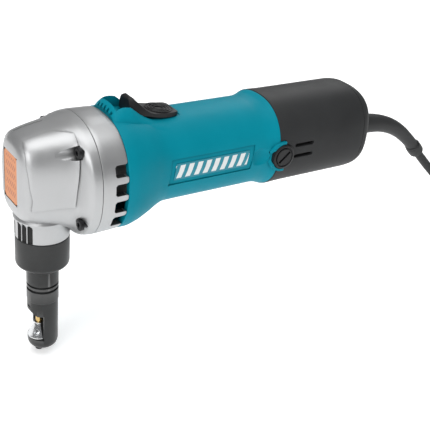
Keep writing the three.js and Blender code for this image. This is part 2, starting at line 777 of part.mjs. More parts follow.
function switchBody() {
  const body = block(switchBodyX, switchBodyX + 28, -11, 11, 4, 21.5);
  const slider = block(switchBodyX + 2, switchBodyX + 8, -3, 3, 20, 22.4);
  return join(body, slider);
}
add('switch_body', switchBody(), ...blackPlastic);

// ---------------------------------------------------------------- motor
const coreX = barrelX + 6;
const fanX = motorFrontX + 7;
const commutatorX = brushX - 9;
const rearBearingX = brushX + 17;

function armatureShaft() {
  const pinion = gearX(pinionTeeth, 0, wheelX - 1, shaftBearingX - 2.5, 0, Math.PI / 2);
  const neck = barX(1.4, 1.4, shaftBearingX - 3, shaftBearingX, 0, 0, 10);
  const shaft = turnedX([
    [0, shaftBearingX - 1], [journalRadius, shaftBearingX - 1],
    [journalRadius, shaftBearingX + shaftBearingLength + 1], [shaftRadius, shaftBearingX + shaftBearingLength + 1],
    [shaftRadius, rearBearingX - 1], [journalRadius, rearBearingX - 1],
    [journalRadius, rearBearingX + 7.5], [0, rearBearingX + 7.5],
  ], 0, 0, 20);
  return join(pinion, neck, shaft);
}
add('armature_shaft', armatureShaft(), ...brightSteel);

function armatureCore() {
  const bore = barX(shaftRadius + gap, shaftRadius + gap, coreX - 1, coreX + coreLength + 1, 0, 0, 20);
  const slots = [];
  for (let i = 0; i < 12; i += 1) {
    const slot = block(coreX - 1, coreX + coreLength + 1, -1.2, 1.2, coreRadius - 3.5, coreRadius + 2);
    slots.push(slot.rotateX(i * Math.PI / 6));
  }
  return cut(barX(coreRadius, coreRadius, coreX, coreX + coreLength, 0, 0, 20), bore, ...slots);
}
add('armature_core', armatureCore(), ...laminated);

function commutator() {
  const bore = barX(shaftRadius + gap, shaftRadius + gap, commutatorX - 1, commutatorX + 20, 0, 0, 20);
  return cut(barX(commutatorRadius, commutatorRadius, commutatorX, commutatorX + 17, 0, 0, 20), bore);
}
add('commutator', commutator(), ...copper);

function coolingFan() {
  const blades = [];
  for (let i = 0; i < 12; i += 1) {
    const blade = block(fanX + 2, fanX + 11, -0.8, 0.8, 8, fanRadius - 0.5);
    blades.push(blade.rotateX(i * Math.PI / 6));
  }
  return cut(
    join(
      barX(fanRadius, fanRadius, fanX, fanX + 2.5, 0, 0, 20),
      barX(9, 9, fanX, fanX + 11, 0, 0, 20),
      ...blades,
    ),
    barX(shaftRadius + gap, shaftRadius + gap, fanX - 1, fanX + 12, 0, 0, 20),
  );
}
add('cooling_fan', coolingFan(), ...whitePlate);

function bearing(inner, outer, x0, x1, z) {
  return cut(barX(outer, outer, x0, x1, 0, z, 20), barX(inner, inner, x0 - 1, x1 + 1, 0, z, 20));
}
add('front_bearing', bearing(journalRadius + gap, shaftBearingRadius,
  shaftBearingX + gap, shaftBearingX + shaftBearingLength, 0), ...brightSteel);
add('rear_bearing', bearing(journalRadius + gap, 8, rearBearingX, rearBearingX + 6, 0), ...brightSteel);

function rearBearingHolder() {
  const disc = loft([
    round(rearBearingX - 3, rearRadius - rearWall - gap, 0),
    round(rearBearingX + 7, rearRadius - rearWall - gap, 0),
  ]);
  const windows = [45, 135, 225, 315].map((degrees) => {
    const angle = degrees * Math.PI / 180;
    return barX(6, 6, rearBearingX - 5, rearBearingX + 9, 19 * Math.cos(angle), 19 * Math.sin(angle), 20);
  });
  return cut(
    disc,
    barX(8 + gap, 8 + gap, rearBearingX - 0.3, rearBearingX + 10, 0, 0, 20),
    barX(5, 5, rearBearingX - 5, rearBearingX + 10, 0, 0, 20),
    block(rearBearingX - 5, rearBearingX + 10, -5, 5, switchRodZ - 1.6, 40),
    ...windows,
  );
}
add('rear_bearing_holder', rearBearingHolder(), ...blackPlastic);

const statorScrewY = barrelRadius - 7.8;
function fieldStator() {
  const x0 = coreX - 2;
  const x1 = coreX + coreLength + 2;
  const radius = barrelRadius - barrelWall - 0.9;
  const flat = radius - 3.2;
  const outer = barX(radius, radius, x0, x1, 0, 0, 20);
  return cut(
    outer,
    barX(coreRadius + 0.8, coreRadius + 0.8, x0 - 1, x1 + 1, 0, 0, 20),
    block(x0 - 1, x1 + 1, -30, 30, flat, 40),
    block(x0 - 1, x1 + 1, -30, 30, -40, -flat),
    ...[-1, 1].map((s) => barX(1.9, 1.9, x0 - 1, x1 + 1, s * statorScrewY, 0, 10)),
  );
}
add('field_stator', fieldStator(), ...laminated);
[-1, 1].forEach((s, i) => {
  const x0 = coreX - 2;
  const x1 = coreX + coreLength + 2;
  const y = s * statorScrewY;
  const screw = join(barX(1.6, 1.6, x0 - 0.5, x1 + 3, y, 0, 10), barX(3, 3, x1 + gap, x1 + 3, y, 0, 10));
  add(`stator_screw_${i + 1}`, screw, ...blackSteel);
});

// Inner radius of the motor housing where it narrows from the flange to the barrel.
function roomRadius(x) {
  const start = motorFrontX + 21;
  const share = (x - start) / (barrelX - 6 - start);
  return (headRadius - 8) * (1 - share) + (barrelRadius - barrelWall + 1) * share;
}

function bafflePlate() {
  const x = fanX + 14;
  const outer = loft([
    round(x, roomRadius(x) - 0.6, headZ * 0.65),
    round(x + 2, roomRadius(x + 2) - 0.675, headZ * 0.65),
  ]);
  return cut(
    outer,
    barX(19, 19, x - 1, x + 3, 0, 0, 20),
    block(x - 1, x + 3, -5.2, 5.2, switchRodZ - 2, 40),
  );
}
add('baffle_plate', bafflePlate(), ...blackPlastic);

// ---------------------------------------------------------------- crank drive
const eccentricZ = crankZ - throwRadius;
const footZ = sleeveTop - 6.4;

function crankshaft() {
  return join(
    barX(2.7, 2.7, crankFrontBearingX, columnX - 9, 0, crankZ, 20),
    barX(4, 4, columnX - 9.2, columnX - 4.5, 0, crankZ, 20),
    barX(eccentricRadius, eccentricRadius, columnX - 4.6, columnX + 4.6, 0, eccentricZ, 20),
    barX(4.5, 4.5, columnX + 4.5, wheelX + wheelWidth, 0, crankZ, 20),
    barX(3.4, 3.4, wheelX + wheelWidth - 0.5, crankRearBearingX + crankRearBearingLength, 0, crankZ, 20),
  );
}
add('crankshaft', crankshaft(), ...brightSteel);
add('crank_gear', gearX(wheelTeeth, 4.8, wheelX, wheelX + wheelWidth, crankZ,
  Math.PI / 2), ...darkSteel);
add('crank_front_bearing', bearing(3, 5.5, crankFrontBearingX, crankFrontBearingX + crankBearingLength, crankZ),
  ...brightSteel);
add('crank_rear_bearing', bearing(3.7, crankRearBearingRadius,
  crankRearBearingX, crankRearBearingX + crankRearBearingLength, crankZ), ...brightSteel);

function connectingRod() {
  const x0 = columnX - rodThickness / 2;
  const x1 = columnX + rodThickness / 2;
  const foot = new THREE.SphereGeometry(footRadius, 14, 8).rotateX(Math.PI / 2).translate(columnX, 0, footZ);
  return cut(
    join(
      barX(rodEye, rodEye, x0, x1, 0, eccentricZ, 24),
      block(columnX - 2.5, columnX + 2.5, -2.5, 2.5, footZ, eccentricZ - rodBore - 1),
      foot,
    ),
    barX(rodBore, rodBore, x0 - 1, x1 + 1, 0, eccentricZ, 20),
  );
}
add('connecting_rod', connectingRod(), ...brightSteel);

// ---------------------------------------------------------------- punch column
add('guide_sleeve', cut(
  barZ(sleeveRadius, sleeveRadius, neckBottom - spigotLength + 0.1, sleeveTop, columnX, 0, 24),
  barZ(plungerRadius + gap, plungerRadius + gap, neckBottom - spigotLength - 1, sleeveTop + 1, columnX, 0, 24),
), ...darkSteel);

const plungerTop = sleeveTop;
const pocketFloor = footZ - footRadius - stroke - 0.5;
const plungerEnd = flangeTop + 0.8;
const stemRadius = 5.2;
const stemEnd = holderTop - 32;
const punchTop = holderTop - 14;

function plunger() {
  const pocketRadius = footRadius + throwRadius + 0.35;
  return cut(
    join(
      barZ(plungerRadius, plungerRadius, plungerEnd, plungerTop, columnX, 0, 24),
      barZ(stemRadius, stemRadius, stemEnd, plungerEnd + 1, columnX, 0, 24),
    ),
    barZ(pocketRadius, pocketRadius, pocketFloor, plungerTop + 1, columnX, 0, 20),
    barZ(punchRadius + gap, punchRadius + gap, stemEnd - 1, punchTop + gap, punchX, 0, 20),
    barY(1.4, 1.4, -8, 0, punchX, punchTop - 6, 10),
  );
}
add('plunger', plunger(), ...darkSteel);
add('punch', barZ(punchRadius, punchRadius, punchTipZ, punchTop, punchX, 0, 20), ...goldSteel);
add('punch_screw', barY(1.1, 1.1, -4.2, -punchRadius - gap, punchX, punchTop - 6, 10), ...blackSteel);

function lockNut() {
  const bore = spigotRadius + gap;
  const throatRadius = holderRadius + gap;
  const profile = [
    [bore, nutTop], [bore, nutShoulder], [throatRadius, nutShoulder], [throatRadius, nutEnd],
    [throatRadius + 1.3, nutEnd], [nutRadius - 0.6, nutCylinderEnd], [nutRadius, nutCylinderEnd + 0.6],
    [nutRadius, nutTop - 0.8], [nutRadius - 0.8, nutTop], [bore, nutTop],
  ];
  return turnedZ(profile, columnX, 0, 32);
}
add('lock_nut', lockNut(), ...darkSteel);

const grooveDepth = 1.1;
function dieHolder() {
  const r = holderRadius;
  const g = r - grooveDepth;
  const low = r - 0.3;
  const grooveA = holderTop - 17.5;
  const grooveB = grooveA - 3.1;
  const stepZ = holderTop - 30.2;
  const profile = [
    [0, flangeTop], [holderFlangeRadius, flangeTop], [holderFlangeRadius, holderTop], [r, holderTop],
    [r, grooveA], [g, grooveA], [g, grooveA - 1.2], [r, grooveA - 1.2],
    [r, grooveB], [g, grooveB], [g, grooveB - 1.6], [r, grooveB - 1.6],
    [r, stepZ], [low, stepZ - 0.4], [low, holderEnd + 4.5], [low - 0.9, holderEnd + 1.6], [low - 2.6, holderEnd],
    [0, holderEnd],
  ];
  const body = turnedZ([...profile].reverse(), columnX, 0, 28);
  const frontCut = block(columnX - 30, columnX - 3, -20, 20, dieSeatZ, jawZ);
  const dieRoom = barZ(dieBaseRadius + 0.6, dieBaseRadius + 0.6, dieSeatZ, jawZ, punchX, 0, 20);
  const jawFront = columnX - r;
  const jawBevel = slabY([
    [jawFront - 1, jawZ - 1], [jawFront + 4.2, jawZ - 1], [jawFront + 3.4, jawZ], [jawFront - 1, jawZ + 4.4],
  ], -20, 20);
  const notch = block(columnX - r - 2, columnX - r + 0.8, -6, 6, jawZ + 5, jawZ + 11);
  return cut(
    body,
    barZ(stemRadius + 0.4, stemRadius + 0.4, jawZ + 3, flangeTop + 1, columnX, 0, 20),
    barZ(punchRadius + gap, punchRadius + gap, jawZ - 1, jawZ + 5, punchX, 0, 20),
    frontCut,
    dieRoom,
    jawBevel,
    notch,
    barZ(4 + gap, 4 + gap, holderEnd + 3, dieSeatZ + 1, punchX, 0, 20),
    barZ(1.8, 1.8, holderEnd - 1, holderEnd + 5, punchX, 0, 10),
  );
}
add('die_holder', dieHolder(), ...darkSteel);

function die() {
  const base = dieSeatZ + gap;
  const stemBottom = holderEnd + 3 + gap;
  const body = turnedZ([
    [0, stemBottom], [4, stemBottom], [4, base], [dieBaseRadius, base], [dieBaseRadius, base + 0.8],
    [dieTopRadius, dieTopZ - 0.6], [dieTopRadius, dieTopZ], [0, dieTopZ],
  ], punchX, 0, 32);
  const chipWay = new THREE.CylinderGeometry(1.7, 1.7, 12, 10).rotateX(Math.PI / 2).translate(0, 0, 6);
  chipWay.rotateY(-65 * Math.PI / 180).rotateZ(50 * Math.PI / 180).translate(punchX, 0, dieTopZ - 6.2);
  return cut(
    body,
    barZ(punchRadius + gap, punchRadius + gap, dieTopZ - 6.4, dieTopZ + 1, punchX, 0, 20),
    barZ(1.8, 1.8, stemBottom - 1, stemBottom + 4, punchX, 0, 10),
    chipWay,
  );
}
add('die', die(), ...brightSteel);

function dieBolt() {
  const headTop = holderEnd - gap;
  const head = barZ(dieBoltHead, dieBoltHead, headTop - dieBoltHeadLength, headTop, punchX, 0, 20);
  const shank = barZ(1.5, 1.5, headTop - 1, holderEnd + 3 + 3.6, punchX, 0, 10);
  const drive = barZ(1.3, 1.3, headTop - dieBoltHeadLength - 1, headTop - dieBoltHeadLength + 1.6, punchX, 0, 6);
  return cut(join(head, shank), drive);
}
add('die_bolt', dieBolt(), ...blackSteel);

// ---------------------------------------------------------------- cord
// A round tapered body along points in the plane Y = 0, with its own radius at each.
function taperedSweep(places, sides = 18) {
  const points = [];
  const faces = [];
  places.forEach(({ x, z, r }, k) => {
    const before = places[Math.max(0, k - 1)];
    const after = places[Math.min(places.length - 1, k + 1)];
    const along = new THREE.Vector2(after.x - before.x, after.z - before.z).normalize();
    for (let i = 0; i < sides; i += 1) {
      const angle = 2 * Math.PI * i / sides;
      const up = r * Math.sin(angle);
      points.push(x - along.y * up, r * Math.cos(angle), z + along.x * up);
    }
  });
  for (let k = 0; k + 1 < places.length; k += 1) {
    for (let i = 0; i < sides; i += 1) {
      const a = k * sides + i;
      const b = k * sides + (i + 1) % sides;
      faces.push(a, b, b + sides, a, b + sides, a + sides);
    }
  }
  const first = points.length / 3;
  const last = (places.length - 1) * sides;
  points.push(places[0].x, 0, places[0].z);
  points.push(places[places.length - 1].x, 0, places[places.length - 1].z);
  for (let i = 0; i < sides; i += 1) {
    const next = (i + 1) % sides;
    faces.push(first, next, i);
    faces.push(first + 1, last + i, last + next);
  }
  const geometry = new THREE.BufferGeometry();
  geometry.setAttribute('position', new THREE.Float32BufferAttribute(points, 3));
  geometry.setIndex(faces);
  return geometry;
}

// The bent rubber guard: its centre line behind the rear cover, and its radius along it.
const guardLine = [
  [gap, 0, guardRoot], [4, 0, guardRoot], [12, -0.7, guardRoot - 0.3], [24, -2.3, guardRoot - 0.9], [37, -4.2, guardRoot - 1.6],
  [50, -8.2, guardRoot - 2.2], [62, -14.4, guardRoot - 2.8], [73, -22.4, guardTip + 0.2], [82, -30.3, guardTip],
];
const guardCollar = [[83, -31.2, guardTip + 1.1], [89, -37, guardTip + 1]];
const guardPlaces = [...guardLine, ...guardCollar].map(([back, down, r]) => ({
  x: rearEndX + back, z: exitZ + down, r,
}));
add('cord_guard', join(
  taperedSweep(guardPlaces),
  barX(guardStem, guardStem, rearEndX - 5, rearEndX + 2, 0, exitZ, 20),
  barX(9, 9, rearEndX - 8, rearEndX - 4 - gap, 0, exitZ, 20),
), ...rubber);

// The coil of the length that lies free. The cord comes down onto its top.
const coilX = rearEndX + 208;
const coilY = 0;
const coilMid = 39;
const coilHalfWidth = 12;
const coilHeight = 28.6;

const coilTop = restPlane + coilHeight;
const cordRadius = cordDiameter / 2;
const cordStart = [rearEndX + 89.3, exitZ - 37.3];
const cordPoints = [
  [cordStart[0], 0, cordStart[1]],
  [cordStart[0] + 9.2, 0, cordStart[1] - 8.7],
  [cordStart[0] + 20.7, -1.5, cordStart[1] - 19.7],
  [cordStart[0] + 33.7, -6, cordStart[1] - 32.2],
  [cordStart[0] + 48.7, -13, cordStart[1] - 44.2],
  [coilX - 52, -21, coilTop + 6.9],
  [coilX - 34, -27.8, coilTop + gap + cordRadius],
  [coilX - 20, -31.2, coilTop + gap + cordRadius],
];

function cordTube() {
  const curve = new THREE.CatmullRomCurve3(cordPoints.map(([x, y, z]) => new THREE.Vector3(x, y, z)));
  const section = new THREE.Shape();
  for (let i = 0; i < 10; i += 1) {
    const angle = 2 * Math.PI * i / 10;
    const x = cordRadius * Math.cos(angle);
    const y = cordRadius * Math.sin(angle);
    if (i === 0) {
      section.moveTo(x, y);
    } else {
      section.lineTo(x, y);
    }
  }
  section.closePath();
  return new THREE.ExtrudeGeometry(section, { steps: 14, extrudePath: curve, bevelEnabled: false });
}
add('power_cord', cordTube(), ...rubber);

function cordCoil() {
  const low = restPlane;
  const high = restPlane + coilHeight;
  const inner = coilMid - coilHalfWidth;
  const outer = coilMid + coilHalfWidth;
  const c = 6;
  return turnedZ([
    [inner + c, low], [outer - c, low], [outer, low + c], [outer, high - c],
    [outer - c, high], [inner + c, high], [inner, high - c], [inner, low + c], [inner + c, low],
  ], coilX, coilY, 28);
}
add('cord_coil', cordCoil(), ...rubber);

// The plug lies beside the coil, in line with its outer turn.
const plugLength = 34;
const plugWidth = 24;
const plugHeight = 20;
const plugX = coilX + 44;
const plugY = -coilMid - 7.3;
const plugLow = restPlane;

function plugBody() {
  const c = 3;
  const w = plugWidth / 2;
  const z0 = plugLow;
  const z1 = plugLow + plugHeight;
  const outline = [
    [plugY - w + c, z0], [plugY + w - c, z0], [plugY + w, z0 + c], [plugY + w, z1 - c],
    [plugY + w - c, z1], [plugY - w + c, z1], [plugY - w, z1 - c], [plugY - w, z0 + c],
  ];
  const relief = barX(cordRadius + 1.2, cordRadius + 3.2, plugX - 13.8, plugX + 1, plugY, (z0 + z1) / 2, 20);
  return join(slabX(outline, plugX, plugX + plugLength), relief);
}
add('plug_body', plugBody(), ...rubber);
[-1, 1].forEach((side, i) => {
  const x0 = plugX + plugLength + gap;
  const z = plugLow + plugHeight / 2;
  const y = plugY + side * 6.35;
  add(`plug_blade_${i + 1}`, block(x0, x0 + 17, y - 0.75, y + 0.75, z - 3.1, z + 3.1), ...brass);
});

export default tool;
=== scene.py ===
# %% [markdown]
# # A hand-held sheet metal nibbler
# This lesson dresses a finished CAD model of an electric nibbler: a cast gear head on a vertical
# punch column, a plastic motor barrel that is also the grip, and a mains cord. The CAD model is
# loaded as a fixed frame. Each piece below either gives a CAD part a better finish, or stands for
# it with a smoother shape in exactly the same place.

# %% Load the frame
import bpy
import bmesh
import math
from mathutils import Matrix, Vector


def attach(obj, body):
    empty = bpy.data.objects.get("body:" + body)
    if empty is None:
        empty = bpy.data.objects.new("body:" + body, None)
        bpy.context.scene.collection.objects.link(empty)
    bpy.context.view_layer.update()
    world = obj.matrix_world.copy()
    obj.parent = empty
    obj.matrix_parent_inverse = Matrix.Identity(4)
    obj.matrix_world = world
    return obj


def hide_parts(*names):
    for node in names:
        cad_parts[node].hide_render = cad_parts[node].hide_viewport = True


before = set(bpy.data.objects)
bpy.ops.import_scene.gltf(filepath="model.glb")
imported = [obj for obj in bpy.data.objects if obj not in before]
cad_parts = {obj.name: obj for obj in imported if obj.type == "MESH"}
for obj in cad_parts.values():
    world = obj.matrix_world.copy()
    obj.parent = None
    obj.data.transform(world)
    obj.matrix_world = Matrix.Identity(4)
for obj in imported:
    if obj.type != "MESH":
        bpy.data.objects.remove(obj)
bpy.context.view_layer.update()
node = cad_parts
scene = bpy.context.scene

# %% [markdown]
# The sizes are in millimetres, counted from the middle of the grip on the motor axis. X runs back
# to the cord and Z runs up. They repeat the sizes that the CAD part was drawn to, so that every
# new surface lies where the CAD surface lies.

# %% Sizes
MM = 0.001
COLUMN_X = -105.0
FRONT_X = -125.0
PARTING_X = -83.5
COVER_FRONT, COVER_REAR = -83.2, -66.0
MOTOR_FRONT, BARREL_X, MOTOR_REAR = -65.7, -30.7, 51.3
REAR_FRONT, REAR_END = 51.6, 136.3
HEAD_Z, HEAD_R, HEAD_POWER = -2.3, 38.0, 2.3
BARREL_R, REAR_R = 29.3, 31.8
BRUSH_X, BRUSH_Z, EAR_R = 54.3, -2.0, 12.0
CRANK_Z = -16.4
EXIT_Z = -4.0
NECK_BOTTOM, NECK_R = -40.1, 17.0
FLOOR_Z = -129.6
CORD_R = 3.5
print("head to rear cover:", REAR_END - FRONT_X, "mm")

# %% [markdown]
# ## The camera
# A small tool is usually photographed from a little above and in front of its side, with a long
# lens so that its lines stay nearly parallel. The camera also leans by a few degrees.

# %% Camera
turn, climb, lean = math.radians(-36.42), math.radians(28.36), math.radians(6.09)
back = Vector((math.sin(turn) * math.cos(climb), -math.cos(turn) * math.cos(climb), math.sin(climb)))
side = Vector((math.cos(turn), math.sin(turn), 0))
over = back.cross(side)
right = side * math.cos(lean) + over * math.sin(lean)
up = over * math.cos(lean) - side * math.sin(lean)
eye = bpy.data.objects.new("view_camera", bpy.data.cameras.new("view_camera"))
eye.data.lens = 71.14
eye.data.clip_end = 50
eye.matrix_world = Matrix((
    (right.x, up.x, back.x, -0.2904),
    (right.y, up.y, back.y, -0.4296),
    (right.z, up.z, back.z, 0.2310),
    (0, 0, 0, 1),
))
scene.collection.objects.link(eye)
scene.camera = eye
print("camera at", [round(v, 3) for v in eye.matrix_world.translation])

# %% [markdown]
# ## Finishes
# Every finish is made of the same few layers: a base colour with slow and fine variation, a
# roughness that wanders a little, and a bump from fine grain. Some finishes add lighter worn
# edges, and some add painted shade, darker in creases and recesses. Only the scales and amounts
# differ, so one maker builds them all. The coordinates are the object's own, in metres, so a grain
# of half a millimetre is a noise scale of about two thousand.

# %% The finish maker
def node_maker(tree):
    def add(kind, values=(), **settings):
        made = tree.nodes.new(kind)
        for name, value in settings.items():
            setattr(made, name, value)
        for name, value in dict(values).items():
            if isinstance(value, bpy.types.NodeSocket):
                tree.links.new(value, made.inputs[name])
            else:
                made.inputs[name].default_value = value
        return made
    return add


def finish(name, colour, metal=0.0, rough=0.5, swing=0.06, spread=0.1, grain=0.5, depth=0.02,
           drift=18.0, stretch=(1, 1, 1), specular=0.5, edge=0.35, worn=None, painted_crease_shade=0.0):
    material = bpy.data.materials.new(name)
    material.use_nodes = True
    tree = material.node_tree
    add = node_maker(tree)
    shader = tree.nodes["Principled BSDF"]
    shader.inputs["Metallic"].default_value = metal
    shader.inputs["Specular IOR Level"].default_value = specular
    place = add("ShaderNodeTexCoord")
    where = add("ShaderNodeMapping", {"Scale": stretch, "Vector": place.outputs["Object"]}).outputs["Vector"]
    slow = add("ShaderNodeTexNoise", {"Scale": 1 / (drift * MM), "Detail": 3, "Vector": where})
    fine = add("ShaderNodeTexNoise", {"Scale": 1 / (grain * MM), "Detail": 2, "Vector": where})
    wander = add("ShaderNodeMath", {0: fine.outputs["Fac"], 1: 0.35, 2: slow.outputs["Fac"]},
                 operation="MULTIPLY_ADD").outputs["Value"]
    shades = add("ShaderNodeValToRGB", {"Fac": wander})
    dark = [max(0.0, c * (1 - swing)) for c in colour]
    light = [min(1.0, c * (1 + swing) + 0.02 * swing) for c in colour]
    shades.color_ramp.elements[0].position = 0.45
    shades.color_ramp.elements[0].color = (*dark, 1)
    shades.color_ramp.elements[1].position = 0.9
    shades.color_ramp.elements[1].color = (*light, 1)
    gloss = add("ShaderNodeMapRange", {
        "From Min": 0.45, "From Max": 0.9, "To Min": max(0.02, rough - spread / 2),
        "To Max": min(1.0, rough + spread / 2), "Value": wander})
    tree.links.new(gloss.outputs["Result"], shader.inputs["Roughness"])
    bump = add("ShaderNodeBump", {"Strength": 1.0, "Distance": depth * MM, "Height": fine.outputs["Fac"]})
    if edge:
        soft = add("ShaderNodeBevel", {"Radius": edge * MM}, samples=4)
        tree.links.new(soft.outputs["Normal"], bump.inputs["Normal"])
    tree.links.new(bump.outputs["Normal"], shader.inputs["Normal"])
    paint = shades.outputs["Color"]
    if worn:
        ridge = add("ShaderNodeNewGeometry")
        pick = add("ShaderNodeMapRange", {"From Min": 0.52, "From Max": 0.62, "To Max": 0.7,
                                          "Value": ridge.outputs["Pointiness"]})
        paint = add("ShaderNodeMix", {"Factor": pick.outputs["Result"], "A": paint, "B": (*worn, 1)},
                    data_type="RGBA").outputs["Result"]
    # Painted shade: an ambient occlusion term darkens the base colour in creases, pockets and recesses.
    if painted_crease_shade:
        shade = add("ShaderNodeAmbientOcclusion", {"Distance": 5 * MM}, samples=8)
        curve = add("ShaderNodeMapRange", {"From Min": 0.25, "From Max": 0.95, "To Min": 1 - painted_crease_shade,
                                           "Value": shade.outputs["AO"]})
        paint = add("ShaderNodeMix", {"Factor": 1.0, "A": paint, "B": curve.outputs["Result"]},
                    data_type="RGBA", blend_type="MULTIPLY").outputs["Result"]
    tree.links.new(paint, shader.inputs["Base Color"])
    return material


print("finish maker ready")

# %% [markdown]
# The head is bead-blasted cast alloy, so its grain is fine and its shine is broad. The barrel is
# coloured polyamide from an etched mould, the rear cover is the same plastic in black, and the
# punch column is oiled, heat-treated steel. The stretched grains are turned or ground surfaces.

# %% The finishes
# The alloy and the teal barrel also get painted shade, darker in their creases and recesses.
cast_alloy = finish("bead_blasted_alloy", (0.47, 0.475, 0.48), 0.82, 0.4, 0.05, 0.08, 0.45, 0.04, 25,
                    painted_crease_shade=0.6)
barrel_teal = finish("etched_teal_plastic", (0.0, 0.235, 0.315), 0, 0.46, 0.05, 0.08, 0.5, 0.02, 30,
                     specular=0.08, painted_crease_shade=0.45)
cover_black = finish("etched_black_plastic", (0.031, 0.032, 0.033), 0, 0.5, 0.1, 0.1, 0.45, 0.03, 30,
                     specular=0.13)
knob_black = finish("moulded_knob_plastic", (0.012, 0.012, 0.013), 0, 0.38, 0.1, 0.1, 0.35, 0.012, 15,
                    specular=0.28)
oiled_steel = finish("oiled_tool_steel", (0.024, 0.025, 0.025), 0.0, 0.34, 0.12, 0.14, 0.5, 0.012, 9,
                     specular=0.3, worn=(0.2, 0.2, 0.2))
nut_steel = finish("blackened_nut_steel", (0.020, 0.021, 0.021), 0.0, 0.36, 0.12, 0.12, 0.4, 0.015, 9,
                   specular=0.3, worn=(0.16, 0.16, 0.16))
screw_steel = finish("blackened_screw_steel", (0.024, 0.024, 0.026), 0.7, 0.36, 0.1, 0.1, 0.3, 0.01, 4)
ground_steel = finish("ground_bright_steel", (0.66, 0.67, 0.68), 0.97, 0.14, 0.05, 0.05, 0.35, 0.001, 7)
bearing_steel = finish("bearing_steel", (0.6, 0.61, 0.62), 0.95, 0.25, 0.05, 0.08, 0.3, 0.006, 8)
coated_punch = finish("coated_punch_steel", (0.62, 0.43, 0.17), 0.95, 0.26, 0.08, 0.08, 0.3, 0.006, 3)
cord_rubber = finish("cord_rubber", (0.019, 0.020, 0.021), 0, 0.55, 0.1, 0.12, 0.6, 0.03, 12,
                     specular=0.3)
guard_rubber = finish("guard_rubber", (0.026, 0.027, 0.028), 0, 0.52, 0.1, 0.1, 0.5, 0.03, 15,
                      specular=0.3)
blade_brass = finish("rolled_brass", (0.66, 0.5, 0.2), 0.95, 0.28, 0.06, 0.1, 0.3, 0.008, 5, (6, 1, 1))
brush_carbon = finish("pressed_carbon", (0.03, 0.03, 0.032), 0.1, 0.7, 0.2, 0.1, 0.25, 0.03, 3)
bar_copper = finish("turned_copper", (0.62, 0.31, 0.17), 0.95, 0.3, 0.06, 0.1, 0.3, 0.01, 4, (1, 5, 5))
core_laminate = finish("stacked_core_sheet", (0.2, 0.2, 0.21), 0.7, 0.45, 0.15, 0.1, 0.5, 0.05, 6, (6, 1, 1))
inner_plastic = finish("inner_plastic", (0.03, 0.03, 0.03), 0, 0.5, 0.1, 0.1, 0.4, 0.02, 12)
fan_plastic = finish("fan_plastic", (0.3, 0.3, 0.29), 0, 0.45, 0.05, 0.1, 0.4, 0.02, 12)
strip_print = finish("pale_printed_strip", (0.74, 0.78, 0.78), 0, 0.36, 0.03, 0.05, 0.3, 0.004, 9)
# A near-black finish that paints shade into recesses: the neck flutes and the inside of the cover ring.
painted_recess_shade = finish("painted_shade_inside_wall", (0.018, 0.018, 0.018), 0.2, 0.7, 0.15, 0.1, 0.6, 0.03, 9)
print("finishes:", len(bpy.data.materials))

# %% [markdown]
# The front label is orange foil with rows of short slanted strokes. The strip on each side of the
# barrel carries a plain row of slanted bars. Both patterns are maths on the object's coordinates.

# %% The label finish
def maths_on(add):
    def step(operation, *values):
        return add("ShaderNodeMath", enumerate(values), operation=operation).outputs["Value"]
    return step


def inked(material, pattern, colour, share):
    tree = material.node_tree
    shader = tree.nodes["Principled BSDF"]
    ground = shader.inputs["Base Color"].links[0].from_socket
    add = node_maker(tree)
    parts = add("ShaderNodeSeparateXYZ", {"Vector": tree.nodes["Texture Coordinate"].outputs["Object"]})
    step = maths_on(add)
    ink = step("MULTIPLY", pattern(step, *(parts.outputs[k] for k in "XYZ")), share)
    mix = add("ShaderNodeMix", {"Factor": ink, "A": ground, "B": (*colour, 1)}, data_type="RGBA")
    tree.links.new(mix.outputs["Result"], shader.inputs["Base Color"])
    return material


def label_rows(step, x, y, z):
    up = step("SUBTRACT", z, 2.2 * MM)
    tall = step("ABSOLUTE", up)
    wide = step("ABSOLUTE", y)
    rows = step("LESS_THAN", step("FRACT", step("MULTIPLY", up, 1 / (5.8 * MM))), 0.62)
    slanted = step("ADD", y, step("MULTIPLY", up, 0.6))
    strokes = step("LESS_THAN", step("FRACT", step("MULTIPLY", slanted, 1 / (2.5 * MM))), 0.5)
    inside = step("MULTIPLY", step("LESS_THAN", wide, 7.4 * MM), step("LESS_THAN", tall, 13.4 * MM))
    return step("MULTIPLY", step("MULTIPLY", rows, strokes), inside)


def strip_bars(step, x, y, z):
    along = step("SUBTRACT", x, step("MULTIPLY", z, 0.35))
    bars = step("LESS_THAN", step("FRACT", step("MULTIPLY", along, 1 / (6.6 * MM))), 0.56)
    inside = step("MULTIPLY", bars, step("LESS_THAN", step("ABSOLUTE", z), 4.3 * MM))
    return step("SUBTRACT", 1, inside)


label_foil = finish("orange_label_foil", (0.66, 0.25, 0.095), 0, 0.42, 0.04, 0.06, 0.3, 0.004, 6,
                    specular=0.3)
inked(label_foil, label_rows, (0.42, 0.12, 0.05), 0.8)
inked(strip_print, strip_bars, (0.0, 0.225, 0.3), 1.0)
print("label finish:", label_foil.name)

# %% [markdown]
# Most inner parts keep their CAD shape, so they only need their finish.

